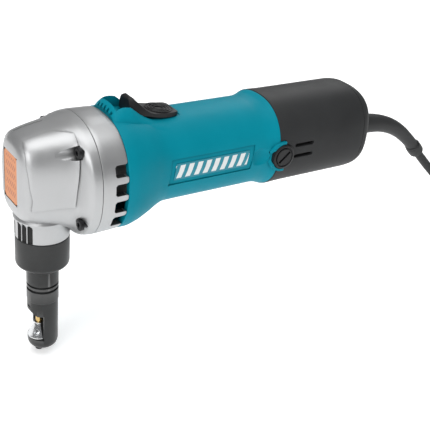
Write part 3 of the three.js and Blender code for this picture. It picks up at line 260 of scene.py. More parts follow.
# %% Dress the CAD parts
dressed_in = (
    (label_foil, "front_badge"), (strip_print, "name_strip_left name_strip_right"),
    (ground_steel, "armature_shaft crankshaft connecting_rod die"), (bar_copper, "commutator"),
    (core_laminate, "armature_core field_stator"), (fan_plastic, "cooling_fan"),
    (bearing_steel, "front_bearing rear_bearing crank_front_bearing crank_rear_bearing"),
    (bearing_steel, "brush_spring_left brush_spring_right"), (coated_punch, "punch"),
    (inner_plastic, "rear_bearing_holder baffle_plate switch_rod switch_body"), (nut_steel, "lock_nut"),
    (oiled_steel, "crank_gear guide_sleeve plunger die_holder"), (cover_black, "rear_cover"),
    (blade_brass, "brush_holder_left brush_holder_right plug_blade_1 plug_blade_2"),
    (brush_carbon, "carbon_brush_left carbon_brush_right"), (barrel_teal, "motor_housing"),
    (cast_alloy, "gear_housing gear_housing_cover"), (guard_rubber, "cord_guard"),
    (knob_black, "switch_knob brush_cap_left brush_cap_right"), (cord_rubber, "power_cord cord_coil plug_body"),
)
inner_finish = {name: look for look, names in dressed_in for name in names.split()}
for name, part in node.items():
    look = inner_finish.get(name, screw_steel)
    for slot in part.material_slots:
        slot.material = look
print("dressed:", len(node), "parts")

# %% [markdown]
# ## The cord
# The lead is a 7 mm rubber cable, 2.5 m long. It leaves the rubber guard at a slant, sinks to the
# floor under its own weight and ends in a round coil, three turns wide, with the plug beside it.
# The line is written as points and then thickened into a tube, which keeps its length exact. Each
# turn keeps one radius and shifts by a cable's width within one sector, as hand-wound turns do.

# %% The line of the cord
CORD_LENGTH = 2500.0
COIL_X = REAR_END + 208
CORD_START = (REAR_END + 89.3, EXIT_Z - 37.3)
TURN_GAP, LAYER_GAP = 7.25, 7.05
LANDING_R, LANDING_Z = 37.0, -100.2


def smooth_line(points, pieces):
    line = []
    for i in range(len(points) - 1):
        p0, p1, p2, p3 = (Vector(points[max(0, min(len(points) - 1, k))]) for k in range(i - 1, i + 3))
        for j in range(pieces):
            t = j / pieces
            line.append(0.5 * (2 * p1 + (p2 - p0) * t + (2 * p0 - 5 * p1 + 4 * p2 - p3) * t * t
                               + (3 * p1 - p0 - 3 * p2 + p3) * t ** 3))
    line.append(Vector(points[-1]))
    return line


def line_length(line):
    return sum((b - a).length for a, b in zip(line, line[1:]))


def ease(t):
    t = max(0.0, min(1.0, t))
    return t * t * (3 - 2 * t)


def coil_height(level):
    return FLOOR_Z + CORD_R + 0.5 + LAYER_GAP * (level - 1)


def cord_line(inner):
    x, z = CORD_START
    falling = [
        (x - 2.4, 0, z + 2.2), (x, 0, z), (x + 9.2, 0, z - 8.7), (x + 20.7, -1.5, z - 19.7),
        (x + 33.7, -6, z - 32.2), (x + 48.7, -13, z - 44.2), (COIL_X - 52, -21, -95.2),
        (COIL_X - 34, -27.7, -98.2), (COIL_X - 20, -31.6, -99.5),
    ]
    rings = [(4, inner)] + [(3, inner + TURN_GAP * k) for k in (0, 1, 2)]
    rings += [(2, inner + TURN_GAP * k) for k in (2, 1, 0)] + [(1, inner + TURN_GAP * k) for k in (0, 1, 2)]
    winding = []
    for number, (level, radius) in enumerate(rings):
        after = rings[min(number + 1, len(rings) - 1)]
        for degrees in range(0, 360, 6):
            if number == 0 and degrees < 4:
                continue
            share = ease((degrees - 250) / 110)
            r = radius + (after[1] - radius) * share
            h = coil_height(level) + (coil_height(after[0]) - coil_height(level)) * share
            if number == 0:
                r += (LANDING_R - inner) * (1 - ease((degrees + 10) / 160))
                h += (LANDING_Z - coil_height(4)) * (1 - ease((degrees + 12) / 110))
            angle = math.radians(250 + degrees)
            winding.append((COIL_X + r * math.cos(angle), r * math.sin(angle), h))
    last = rings[-1][1]
    for degrees in (250, 256, 262, 268):
        angle = math.radians(degrees)
        winding.append((COIL_X + last * math.cos(angle), last * math.sin(angle), coil_height(1)))
    tail = [
        (COIL_X + 6, -last, coil_height(1) + 0.4), (COIL_X + 13, -last - 0.2, coil_height(1) + 1.7),
        (COIL_X + 21, (-last - 46.3) / 2, coil_height(1) + 4.4), (COIL_X + 29, -46.3, coil_height(1) + 6.2),
        (COIL_X + 34, -46.3, FLOOR_Z + 10),
    ]
    return smooth_line(falling, 4)[:-1] + smooth_line([falling[-1]] + winding + tail, 1)


inner_turn = 30.3
for attempt in range(6):
    length = line_length(cord_line(inner_turn)[4:])
    inner_turn += (CORD_LENGTH - length) / (2 * math.pi * 10)
cord_route = cord_line(inner_turn)
print("cord:", round(line_length(cord_route[4:])), "mm, inner turn radius", round(inner_turn, 2), "mm")

# %% [markdown]
# A tube follows a line when each ring of points faces along it. The ring is carried from point to
# point by the smallest turn, so that the tube never twists.

# %% Tubes
def new_piece(name, verts, faces, look, smooth=True, scale=MM):
    mesh = bpy.data.meshes.new(name)
    mesh.from_pydata([Vector(v) * scale for v in verts], [], faces)
    mesh.validate()
    mesh.materials.append(look)
    if smooth:
        mesh.shade_smooth()
    piece = bpy.data.objects.new(name, mesh)
    scene.collection.objects.link(piece)
    return piece


def outward(piece):
    mesh = bmesh.new()
    mesh.from_mesh(piece.data)
    bmesh.ops.remove_doubles(mesh, verts=mesh.verts, dist=1e-7)
    bmesh.ops.recalc_face_normals(mesh, faces=mesh.faces)
    mesh.to_mesh(piece.data)
    mesh.free()
    return piece


def tube(name, line, radii, look, sides=14):
    verts, faces = [], []
    across = Vector((0, 1, 0))
    for i, point in enumerate(line):
        along = (line[min(i + 1, len(line) - 1)] - line[max(i - 1, 0)]).normalized()
        across = (across - along * across.dot(along)).normalized()
        other = along.cross(across)
        radius = radii[i] if isinstance(radii, (list, tuple)) else radii
        for k in range(sides):
            angle = 2 * math.pi * k / sides
            verts.append(point + (across * math.cos(angle) + other * math.sin(angle)) * radius)
    for i in range(len(line) - 1):
        for k in range(sides):
            a, b = i * sides + k, i * sides + (k + 1) % sides
            faces.append((a, b, b + sides, a + sides))
    faces.append(tuple(reversed(range(sides))))
    faces.append(tuple(range((len(line) - 1) * sides, len(line) * sides)))
    return new_piece(name, verts, faces, look)


lead = tube("mains_lead", cord_route, CORD_R, cord_rubber)
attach(lead, "housing")
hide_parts("power_cord", "cord_coil")
print("lead rings:", len(cord_route))

# %% [markdown]
# A strap holds the coil together. It is a flat band that goes once round the bundle.

# %% The strap
def coil_strap():
    centre, half_r, half_z = inner_turn + TURN_GAP, 11.3, 14.15
    middle = Vector((COIL_X, centre, FLOOR_Z + 14.65))
    verts, faces = [], []
    count, width, thick = 40, 5.0, 0.42
    for i in range(count):
        angle = 2 * math.pi * i / count
        c, s = math.cos(angle), math.sin(angle)
        y = half_r * math.copysign(abs(c) ** 0.45, c)
        z = half_z * math.copysign(abs(s) ** 0.45, s)
        if z > 0:
            z -= min(z, 6.8) * ease((y + 3) / 7)
        for dx, grow in ((-width, 0), (width, 0), (width, thick), (-width, thick)):
            far = 1 + grow / 12
            verts.append((middle.x + dx, middle.y + y * far, middle.z + z * far))
    for i in range(count):
        for k in range(4):
            a, b = i * 4 + k, i * 4 + (k + 1) % 4
            c, d = ((i + 1) % count) * 4 + (k + 1) % 4, ((i + 1) % count) * 4 + k
            faces.append((a, b, c, d))
    strap = new_piece("coil_strap", verts, faces, guard_rubber, smooth=False)
    strap.data.set_sharp_from_angle(angle=math.radians(50))
    return strap


strap = outward(coil_strap())
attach(strap, "housing")
print("strap round", inner_turn + TURN_GAP, "mm")

# %% [markdown]
# ## Smooth shapes
# The housings are soft, rounded bodies. Each is described by a few cross-sections along X, each a
# superellipse: an oval that a power of 2 makes round and a higher power makes squarer. A monotone
# curve joins the sections without overshoot, so edges that are tight stay tight.

# %% Sections along X
def slopes(xs, ys):
    rise = [(b - a) / (d - c) for a, b, c, d in zip(ys, ys[1:], xs, xs[1:])]
    inner = [0 if p * q <= 0 else 2 * p * q / (p + q) for p, q in zip(rise, rise[1:])]
    return [rise[0]] + inner + [rise[-1]]


def joined(xs, ys, x, k):
    m = slopes(xs, ys)
    w = xs[k + 1] - xs[k]
    t = (x - xs[k]) / w
    return ((1 + 2 * t) * (1 - t) ** 2 * ys[k] + t * (1 - t) ** 2 * w * m[k]
            + t * t * (3 - 2 * t) * ys[k + 1] + t * t * (t - 1) * w * m[k + 1])


def station(x, half_width, above, below, z, power):
    return (x, half_width, above, below, z, power)


def rounded(x, radius, z=0.0, power=HEAD_POWER):
    return (x, radius, radius, radius, z, power)


def sweep(stations, sides=128, steps=5):
    xs = [s[0] for s in stations]
    sections = []
    for k in range(len(stations) - 1):
        last = k == len(stations) - 2
        for j in range(steps + (1 if last else 0)):
            x = xs[k] + (xs[k + 1] - xs[k]) * j / steps
            sections.append([x] + [joined(xs, [s[i] for s in stations], x, k) for i in range(1, 6)])
    verts, faces = [], []
    for x, width, above, below, z, power in sections:
        for i in range(sides):
            c, s = math.cos(2 * math.pi * i / sides), math.sin(2 * math.pi * i / sides)
            c, s = (0.0 if abs(v) < 1e-9 else v for v in (c, s))
            y = width * math.copysign(abs(c) ** (2 / power), c) if c else 0.0
            h = (above if s > 0 else below) * math.copysign(abs(s) ** (2 / power), s) if s else 0.0
            verts.append((x, y, z + h))
    for k in range(len(sections) - 1):
        for i in range(sides):
            a, b = k * sides + i, k * sides + (i + 1) % sides
            faces.append((a, b, b + sides, a + sides))
    faces.append(tuple(reversed(range(sides))))
    faces.append(tuple(range((len(sections) - 1) * sides, len(sections) * sides)))
    return new_piece("tool", verts, faces, cast_alloy)


print("section joiner ready")

# %% [markdown]
# Holes, pockets and slots are cut with simple tools: bars along an axis, turned bodies, and
# outlines pushed along an axis. Boolean modifiers do the cutting, and their result becomes a plain
# mesh. Creases stay crisp by their angle, and the finish rounds them by a fraction of a millimetre.

# %% Cutting tools
def bar(axis, r0, r1, start, end, u, v, sides=48):
    verts, faces = [], []
    for at, r in ((start, r0), (end, r1)):
        for i in range(sides):
            c, s = math.cos(2 * math.pi * i / sides), math.sin(2 * math.pi * i / sides)
            verts.append({"X": (at, u + r * c, v + r * s), "Y": (u + r * s, at, v + r * c),
                          "Z": (u + r * c, v + r * s, at)}[axis])
    for i in range(sides):
        j = (i + 1) % sides
        faces.append((i, j, j + sides, i + sides))
    faces.append(tuple(reversed(range(sides))))
    faces.append(tuple(range(sides, 2 * sides)))
    return new_piece("tool", verts, faces, cast_alloy)


def turned(profile, x, y, look=None, sides=96, name="tool"):
    verts, faces = [], []
    rows = []
    for r, z in profile:
        if r < 1e-6:
            rows.append([len(verts)])
            verts.append((x, y, z))
            continue
        rows.append(list(range(len(verts), len(verts) + sides)))
        for i in range(sides):
            angle = 2 * math.pi * i / sides
            verts.append((x + r * math.cos(angle), y + r * math.sin(angle), z))
    pairs = list(zip(rows, rows[1:]))
    if len(rows[0]) > 1:
        pairs.append((rows[-1], rows[0]))
    for a, b in pairs:
        for i in range(sides):
            j = (i + 1) % sides
            corner = list(dict.fromkeys((a[i % len(a)], a[j % len(a)], b[j % len(b)], b[i % len(b)])))
            if len(corner) > 2:
                faces.append(corner)
    return outward(new_piece(name, verts, faces, look or cast_alloy))


def pushed(outline, axis, start, end):
    n = len(outline)
    put = {"Y": lambda a, b, at: (a, at, b), "X": lambda a, b, at: (at, a, b)}[axis]
    verts = [put(a, b, start) for a, b in outline] + [put(a, b, end) for a, b in outline]
    faces = [(i, (i + 1) % n, (i + 1) % n + n, i + n) for i in range(n)]
    faces += [tuple(reversed(range(n))), tuple(range(n, 2 * n))]
    return outward(new_piece("tool", verts, faces, cast_alloy))


def block(x0, x1, y0, y1, z0, z1):
    return pushed([(x0, z0), (x1, z0), (x1, z1), (x0, z1)], "Y", y0, y1)


def ball(radius, x, y, z):
    mesh = bpy.data.meshes.new("tool")
    soft = bmesh.new()
    bmesh.ops.create_icosphere(soft, subdivisions=4, radius=radius * MM)
    bmesh.ops.translate(soft, verts=soft.verts, vec=Vector((x, y, z)) * MM)
    soft.to_mesh(mesh)
    soft.free()
    mesh.materials.append(cast_alloy)
    piece = bpy.data.objects.new("tool", mesh)
    scene.collection.objects.link(piece)
    return piece


def other_side(piece):
    return new_piece("tool", [(v.co.x, -v.co.y, v.co.z) for v in piece.data.vertices],
                     [tuple(reversed(p.vertices)) for p in piece.data.polygons], cast_alloy, scale=1)


def both_sides(pieces):
    return pieces + [other_side(piece) for piece in pieces]


# Faces picked by the test get the near-black finish: painted shade, as if deep inside a recess.
def paint_shade_on_faces(piece, inside):
    piece.data.materials.append(painted_recess_shade)
    for polygon in piece.data.polygons:
        if inside(polygon.center / MM, polygon.normal):
            polygon.material_index = 1
    return piece


def shaped(name, base, look, joins=(), cuts=(), keeps=(), crease=32):
    tools = []
    for how, group in (("INTERSECT", keeps), ("UNION", joins), ("DIFFERENCE", cuts)):
        for tool in group:
            change = base.modifiers.new(how, "BOOLEAN")
            change.operation = how
            change.solver = "MANIFOLD"
            change.object = tool
            tools.append(tool)
    bpy.context.view_layer.update()
    result = bpy.data.meshes.new_from_object(base.evaluated_get(bpy.context.evaluated_depsgraph_get()))
    clean = bmesh.new()
    clean.from_mesh(result)
    bmesh.ops.remove_doubles(clean, verts=clean.verts, dist=6e-7)
    bmesh.ops.dissolve_degenerate(clean, edges=clean.edges, dist=4e-7)
    clean.to_mesh(result)
    clean.free()
    result.materials.clear()
    result.materials.append(look)
    for polygon in result.polygons:
        polygon.material_index = 0
    result.shade_smooth()
    result.set_sharp_from_angle(angle=math.radians(crease))
    for tool in set(tools + [base]):
        bpy.data.objects.remove(tool)
    result.name = name
    piece = bpy.data.objects.new(name, result)
    scene.collection.objects.link(piece)
    return piece


def stands_for(piece, body, kind, *names):
    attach(piece, body)
    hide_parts(*names)
    print(piece.name, "triangles:", sum(len(p.vertices) - 2 for p in piece.data.polygons))
    return piece


# %% [markdown]
# ## The gear housing
# The head is one aluminium casting. Its front is flat for the label, its sides carry a raised pad
# each, and a round neck below holds the punch column. Real castings have a fillet wherever two
# walls meet, so the neck flares where it enters the head.

# %% Gear housing
def head_shape(places):
    return [station(x, wide, above, below, HEAD_Z, power) for x, wide, above, below, power in places]


head_sections = head_shape([
    (FRONT_X, 12.5, 22.5, 15.5, 3.4), (FRONT_X + 0.8, 15, 25.6, 18.6, 3.3),
    (FRONT_X + 2.5, 17.6, 28.2, 21, 3.2), (FRONT_X + 5.5, 19.8, 30.4, 22.8, 3.1),
    (FRONT_X + 14, 22, 32.6, 26, 3), (PARTING_X - 16, 25, 34.6, 29, 2.9),
    (PARTING_X - 10.5, 28, 35.8, 31.5, 2.8), (PARTING_X - 7, 34.4, 36.8, 35.2, 2.45),
    (PARTING_X - 4.5, 37.1, 37.6, 37.3, 2.3), (PARTING_X, 38, 38, 38, 2.3)])
SCREW_RING = HEAD_R - 2.6
screw_spots = [(SCREW_RING * math.cos(math.radians(a)), HEAD_Z + SCREW_RING * math.sin(math.radians(a)))
               for a in (45, 135, -35, -145)]
SCREW_X = PARTING_X - 8.5


def side_pad():
    grown = [(x, w + 1.3, a + 0.3, b, z, p) for x, w, a, b, z, p in head_sections]
    left, right_end, z = FRONT_X, PARTING_X - 11, HEAD_Z
    outline = [(left + 4.6, z - 10), (right_end - 1.5, z - 9), (right_end - 1, z), (right_end + 2, z + 34),
               (left + 6.5, z + 34), (left + 3.4, z + 27), (left + 2.9, z + 18), (left + 4, z + 4),
               (left + 5.2, z - 3)]
    return shaped("tool", sweep(grown), cast_alloy, keeps=[pushed(outline, "Y", -60, -8)])


def neck():
    low, r = NECK_BOTTOM, NECK_R
    return turned([(0, low), (r - 0.5, low), (r, low + 0.5), (r, -29.3), (r + 0.3, -28.2), (r + 0.8, -27.3),
                   (r + 1, -26), (r - 1, -22), (0, -22)], COLUMN_X, 0)


def neck_flutes():
    tools = []
    for degrees in (-41, -27, -13, 13, 27, 41):
        angle = math.pi + math.radians(degrees)
        x, y = COLUMN_X + (NECK_R + 0.3) * math.cos(angle), (NECK_R + 0.3) * math.sin(angle)
        tools.append(turned([(0, NECK_BOTTOM - 1), (1.8, NECK_BOTTOM - 1), (1.8, NECK_BOTTOM + 11),
                             (1.5, NECK_BOTTOM + 12.3), (0.9, NECK_BOTTOM + 13.2), (0, NECK_BOTTOM + 13.6)],
                            x, y, sides=20))
    return tools


cavity = shaped("tool", sweep(head_shape([
    (FRONT_X + 4.8, 15, 22, 17.5, 2.6), (FRONT_X + 14, 17.8, 28, 21.5, 2.6),
    (PARTING_X - 16, 20.8, 30, 24.5, 2.6), (PARTING_X - 7.8, 25.5, 30, 30.1, 2.4),
    (PARTING_X - 5, 31.5, 31.5, 31.5, 2.3),
    (PARTING_X + 1, 33.8, 33.8, 33.8, 2.3)]), sides=64, steps=2), cast_alloy, cuts=[
    bar("X", 5, 5, SCREW_X, PARTING_X + 2, y * 0.955, HEAD_Z + (z - HEAD_Z) * 0.955, 24) for y, z in screw_spots
] + [bar("X", 8, 8, FRONT_X, COLUMN_X - 9.5, 0, CRANK_Z, 32)])
casting = shaped(
    "cast_gear_housing", sweep(head_sections, steps=6), cast_alloy,
    joins=both_sides([side_pad()]) + [neck(), bar("Z", 12.5, 12.5, NECK_BOTTOM - 13.9, -38, COLUMN_X, 0)],
    cuts=[cavity] + [bar("X", 4.2, 4.2, SCREW_X - 14, SCREW_X, y, z, 40) for y, z in screw_spots]
    + [bar("X", 2.3, 2.3, SCREW_X - 1, PARTING_X + 1, y, z, 24) for y, z in screw_spots]
    + neck_flutes() + [
        bar("X", 5.8, 5.8, COLUMN_X - 15, COLUMN_X + 5.5, 0, CRANK_Z, 40),
        bar("Z", 11.3, 11.3, NECK_BOTTOM - 15, -33.3, COLUMN_X, 0, 64),
        bar("Z", 8.8, 8.8, -34.6, CRANK_Z, COLUMN_X, 0, 48),
        bar("X", 12.5, 12.5, COLUMN_X - 5.5, COLUMN_X + 5.5, 0, CRANK_Z, 48),
        block(FRONT_X - 1, FRONT_X + 1, -9.8, 9.8, -13.6, 18),
    ])


def in_flute(centre, normal):
    away = math.hypot(centre.x - COLUMN_X, centre.y)
    return (15.0 < away < NECK_R - 0.1 and centre.z < NECK_BOTTOM + 13 and abs(normal.z) < 0.5
            and centre.x < COLUMN_X)


# The flute faces are painted near-black: painted shade inside the flutes.
paint_shade_on_faces(casting, in_flute)
stands_for(casting, "housing", "cast_alloy", "gear_housing")

# %% [markdown]
# The ring behind the head carries the gear bearings. Four vents on each side let the fan's air
# out, and they run out through the rear edge, which leaves short fins with rounded ends.

# %% Gear housing cover
def vent(low, high):
    low, high = HEAD_Z + low, HEAD_Z + high
    r = 1.1
    outline = [(COVER_REAR - 8.8, low + r), (COVER_REAR - 8.8 + r, low), (COVER_REAR - 1.8, low),
               (COVER_REAR - 0.6, low - 0.35), (COVER_REAR + 0.2, low - 1.0), (COVER_REAR + 1, low - 1.0),
               (COVER_REAR + 1, high + 1.0), (COVER_REAR + 0.2, high + 1.0), (COVER_REAR - 0.6, high + 0.35),
               (COVER_REAR - 1.8, high), (COVER_REAR - 8.8 + r, high), (COVER_REAR - 8.8, high - r)]
    return pushed(outline, "Y", -45, -20)


vents = [vent(low, high) for low, high in ((10.6, 17.8), (-1.2, 6.4), (-13, -5), (-24.4, -16.4))]
ring = shaped(
    "gear_cover_ring", sweep([
        rounded(COVER_FRONT, 37.7, HEAD_Z), rounded(COVER_FRONT + 0.3, 38, HEAD_Z),
        rounded(COVER_REAR - 1, 37.6, HEAD_Z), rounded(COVER_REAR, 37.3, HEAD_Z)]), cast_alloy,
    cuts=[sweep([rounded(x, 33.8, HEAD_Z) for x in (COVER_FRONT + 10.5, COVER_REAR + 1)], sides=64),
          sweep([rounded(x, 29.8, HEAD_Z) for x in (COVER_FRONT - 1, COVER_FRONT + 1.2)], sides=64),
          bar("X", 7.8, 7.8, COVER_FRONT + 2, COVER_REAR, 0, 0),
          bar("X", 5, 5, COVER_FRONT - 1, COVER_REAR, 0, 0),
          bar("X", 6.8, 6.8, COVER_FRONT - 1, COVER_FRONT + 8.3, 0, CRANK_Z)]
    + both_sides(vents)
    + [bar("X", 2.3, 2.3, COVER_FRONT - 1, COVER_FRONT + 8, y, z, 24) for y, z in screw_spots])
# The inside faces of the ring are painted near-black: painted shade seen through the vents and the open front.
paint_shade_on_faces(ring, lambda c, n: math.hypot(c.y, c.z - HEAD_Z) < HEAD_R - 2.6)
stands_for(ring, "housing", "cast_alloy", "gear_housing_cover")

# %% [markdown]
# ## The motor housing
# The barrel is one teal moulding. It starts with the round flange that meets the head, narrows to
# the grip and flares again at the rear. On top, a hood rises in front of the switch knob, and the
# knob's bed is sunk into the plastic behind it.

# %% Motor housing
motor_sections = [
    rounded(MOTOR_FRONT, 37.2, HEAD_Z), rounded(MOTOR_FRONT + 0.5, 37.5, HEAD_Z),
    rounded(MOTOR_FRONT + 5, 37.6, HEAD_Z), rounded(MOTOR_FRONT + 11, 36.6, HEAD_Z * 0.95),
    rounded(MOTOR_FRONT + 21, 33.5, HEAD_Z * 0.65), rounded(BARREL_X - 6, 30.6, HEAD_Z * 0.3),
    rounded(BARREL_X, 29.4, 0), rounded(BARREL_X + 8, 29.2, 0), rounded(MOTOR_REAR - 12, 29.2, 0),
    rounded(MOTOR_REAR - 5, 30.1, 0), rounded(MOTOR_REAR - 1, 31.5, 0), rounded(MOTOR_REAR, 31.8, 0),
]
KNOB_X, KNOB_LENGTH, KNOB_HALF, TRAVEL = MOTOR_FRONT + 14.7, 35.0, 10.0, 5.5
KNOB_END = KNOB_X + KNOB_LENGTH
BED_HALF = KNOB_HALF + 0.5
BED_X0, BED_X1 = KNOB_X - TRAVEL - 5.8, KNOB_END + 1
HOOD_TOP, KNOB_TIP = 42.8, 43.6
bed_line = [(BED_X0, HEAD_R - 4), (MOTOR_FRONT + 15.7, HEAD_R - 5.6), (MOTOR_FRONT + 21.7, HEAD_R - 7),
            (BARREL_X - 6.3, BARREL_R), (BARREL_X - 0.3, BARREL_R - 0.7), (BED_X1, BARREL_R - 0.8)]


def bed_height(x):
    for (x0, z0), (x1, z1) in zip(bed_line, bed_line[1:]):
        if x <= x1:
            return z0 + (z1 - z0) * (x - x0) / (x1 - x0)
    return bed_line[-1][1]


def raised(places, half, power):
    core = BARREL_R - 9.3
    return sweep([station(x, half, top - core, 5, core, power) for x, top in places], sides=96)


hood = raised([(MOTOR_FRONT + x, top) for x, top in (
    (0.3, 37.5), (2.2, 40), (4.7, 42), (7.7, HOOD_TOP), (12.5, 42.2), (16, 39.6), (19.7, 36.3), (23.5, 33.6),
    (28, 31.2), (33, 29.0))], BED_HALF + 6.6, 2.7)
seat = raised([(MOTOR_FRONT + 15.7, 33.9), (MOTOR_FRONT + 21.7, 32.3), (BARREL_X - 6.3, 30.3),
               (BARREL_X - 0.3, 29.2), (BARREL_X + 6, 28.2)], KNOB_HALF + 10, 2.35)
bed = pushed(bed_line + [(BED_X1, HOOD_TOP + 5), (BED_X0, HOOD_TOP + 5)], "Y", -BED_HALF, BED_HALF)
PLATE_X0, PLATE_X1 = BARREL_X - 2, MOTOR_REAR - 20


def plate_recess():
    slant, half, sunk = 1, 8.6, 0.72
    outline = [(PLATE_X0 - slant, -half), (PLATE_X1 - slant, -half), (PLATE_X1 + slant, half),
               (PLATE_X0 + slant, half)]
    return shaped("tool", pushed(outline, "Y", -50, -10), cast_alloy, cuts=[
        sweep([rounded(x, BARREL_R - sunk) for x in (PLATE_X0 - 10, PLATE_X1 + 10)])])


def ear():
    return shaped("tool", bar("Y", 12.4, 10.6, -18, -(REAR_R + 0.9), BRUSH_X, BRUSH_Z, 96), cast_alloy,
                  cuts=[block(BRUSH_X + 1.5, BRUSH_X + 20, -50, 0, -20, 20)])


room = sweep([
    rounded(MOTOR_FRONT - 1, 33.8, HEAD_Z), rounded(MOTOR_FRONT + 11, 33, HEAD_Z * 0.95),
    rounded(MOTOR_FRONT + 21, 30, HEAD_Z * 0.65), rounded(BARREL_X - 6, 27.1, HEAD_Z * 0.3),
    rounded(BARREL_X, 26.1, 0), rounded(MOTOR_REAR + 13, 25.9, 0)], sides=96, steps=3)
lip = sweep([rounded(MOTOR_REAR - 6, 28.2), rounded(MOTOR_REAR + 12, 28.2)], sides=96)
one_side = [plate_recess(), bar("Y", 8.9, 8.9, -60, -(REAR_R - 1.4), BRUSH_X, BRUSH_Z, 64),
            bar("Y", 6.6, 6.6, -60, -12, BRUSH_X, BRUSH_Z),
            ball(13, BRUSH_X - EAR_R - 5, -(REAR_R + 8.4), BRUSH_Z + 1)]
barrel = shaped(
    "teal_motor_housing", sweep(motor_sections), barrel_teal,
    joins=[hood, seat, lip] + both_sides([ear()]),
    cuts=[room, bar("X", 22, 22, BARREL_X, MOTOR_REAR + 40, 0, 0), bed,
          block(KNOB_X + 5.5, KNOB_X + 27, -5.2, 5.2, 18, 40)]
    + both_sides(one_side)
    + [bar("Z", 1.8, 1.8, -40, -20, MOTOR_REAR + 7, y, 24) for y in (-8, 8)]
    + [block(MOTOR_FRONT - 1, MOTOR_FRONT + 1.6, y - 0.9, y + 0.9, 36, 39.6) for y in (-9, -5, -1, 3, 7)])
stands_for(barrel, "housing", "teal_plastic", "motor_housing")

# %% [markdown]
# ## The rear cover
# A black cap closes the motor. It has two air slots on each side, a round opening for each brush
# cap, and a rounded end with the cord's rubber guard in it.

# %% Rear cover
rear_sections = [
    rounded(REAR_FRONT, 31.9), rounded(REAR_FRONT + 0.4, 32.1), rounded(REAR_FRONT + 12, 31.8),
    rounded(REAR_END - 14, 31.8), rounded(REAR_END - 7.5, 30.9, 0, 2.4), rounded(REAR_END - 3, 28.8, 0, 2.6),
    rounded(REAR_END - 0.8, 26.4, 0, 2.8), rounded(REAR_END, 24.6, 0, 2.9),
]


def air_slot(z):
    ends = [bar("Y", 1.3, 1.3, -45, -20, x, z, 24) for x in (REAR_FRONT + 14, REAR_FRONT + 27.7)]
    return [block(REAR_FRONT + 14, REAR_FRONT + 27.7, -45, -20, z - 1.3, z + 1.3)] + ends


def seam():
    return shaped("tool", sweep([rounded(REAR_END - x, 40) for x in (9.35, 9)], sides=64), cast_alloy,
                  cuts=[sweep([rounded(REAR_END - x, 30.85) for x in (12, 6)])])


ear_gap = [bar("Y", 8.9, 8.9, -60, -15, BRUSH_X, BRUSH_Z, 96),
           block(REAR_FRONT - 5, BRUSH_X + 1.8, -60, -15, BRUSH_Z - 11.3, BRUSH_Z + 11.3)]
slots = air_slot(4) + air_slot(-4)
cap = shaped(
    "black_rear_cover", sweep(rear_sections, steps=6), cover_black,
    cuts=[sweep([rounded(REAR_FRONT - 1, 28.5), rounded(REAR_END - 12, 28.5),
                         rounded(REAR_END - 4, 23.5, 0, 2.5)], sides=96), seam()]
    + both_sides(slots + ear_gap)
    + [bar("X", 6.3, 6.3, REAR_END - 12, REAR_END + 2, 0, EXIT_Z)]
    + [bar("Z", r, r, -40, top, MOTOR_REAR + 7, y, 32)
       for y in (-8, 8) for r, top in ((1.8, -20), (3.4, -REAR_R + 1.6))])
stands_for(cap, "housing", "black_plastic", "rear_cover")

# %% [markdown]
# The brush caps screw in from the sides. Each has a coin slot, here turned to a slant.

# %% Brush caps
def brush_cap(name, side_sign):
    seat_y, face = REAR_R - 1.4, REAR_R + 1.9
    profile = [(0, seat_y - 1.7), (6.2, seat_y - 1.7), (6.2, seat_y + 0.3), (8.6, seat_y + 0.3),
               (8.6, REAR_R + 1.0), (8.4, REAR_R + 1.6), (7.9, face), (7.1, face), (6.8, REAR_R + 1.6),
               (6.8, REAR_R + 0.9), (6.1, REAR_R + 0.9), (6.1, face), (5.8, REAR_R + 2.2), (0, REAR_R + 2.2)]
    body = turned(profile, 0, 0)
    slot_tool = pushed([(-5.4, REAR_R + 0.8), (5.4, REAR_R + 0.8), (5.4, 40), (-5.4, 40)], "Y", -0.9, 0.9)
    body = shaped(name, body, knob_black, cuts=[slot_tool])
    spin = Matrix.Rotation(math.radians(-40 * side_sign), 4, "Z")
    tip = Matrix.Rotation(math.radians(-90 * side_sign), 4, "X")
    body.data.transform(Matrix.Translation((BRUSH_X * MM, 0, BRUSH_Z * MM)) @ tip @ spin)
    return body


stands_for(brush_cap("brush_screw_cap_left", -1), "housing", "black_plastic", "brush_cap_left")
stands_for(brush_cap("brush_screw_cap_right", 1), "housing", "black_plastic", "brush_cap_right")

# %% [markdown]
# ## The switch knob
# The knob is pushed forward to start the motor. A tall lip at its front stops the thumb, and an
# oval pad of raised rings gives grip. The rings follow a rule, so Geometry Nodes draw them: a
# circle is placed once for each ring, made smaller each time, and given a round section.

# %% Knob body
def knob_body():
    backs = (0, 3, 7, 10, 14, 17, 19, 22, 24, 29, KNOB_LENGTH)
    under = [(KNOB_X + back, bed_height(KNOB_X + back - TRAVEL) + 0.4) for back in backs]
    rear = [(KNOB_END - x, BARREL_R + rise, 0) for x, rise in ((0, 0.9), (0.3, 1.8), (2.5, 2.2), (11, 2.6))]
    middle = [(KNOB_X + x, BARREL_R + rise, 0) for x, rise in ((16, 3.6), (12, 5.3), (8, 8.7))]
    tip = ((5, 40.9), (3.2, 43.0), (1.9, KNOB_TIP), (0.7, 43.3), (0, 42.4))
    front = [(KNOB_X + x, top, 0) for x, top in tip]
    crown = smooth_line(rear + middle + front, 4)
    body = pushed(under + [(p.x, p.y) for p in crown], "Y", -KNOB_HALF, KNOB_HALF)
    trim = sweep([station(x, half, 22, 22, 22, power) for x, half, power in (
        (KNOB_X - 1, 7.4, 3), (KNOB_X + 4, 9.4, 3), (KNOB_X + 18, 10, 3.4), (KNOB_END - 8, 9.8, 3.4),
        (KNOB_END - 3, 8.9, 3.4), (KNOB_END - 1, 7.6, 3.4), (KNOB_END + 0.5, 5.6, 3.4))], sides=96)
    leg = block(KNOB_X + 13, KNOB_X + 25, -4, 4, 25, BARREL_R + 2)
    return shaped("switch_knob_body", body, knob_black, keeps=[trim], joins=[leg], crease=28)


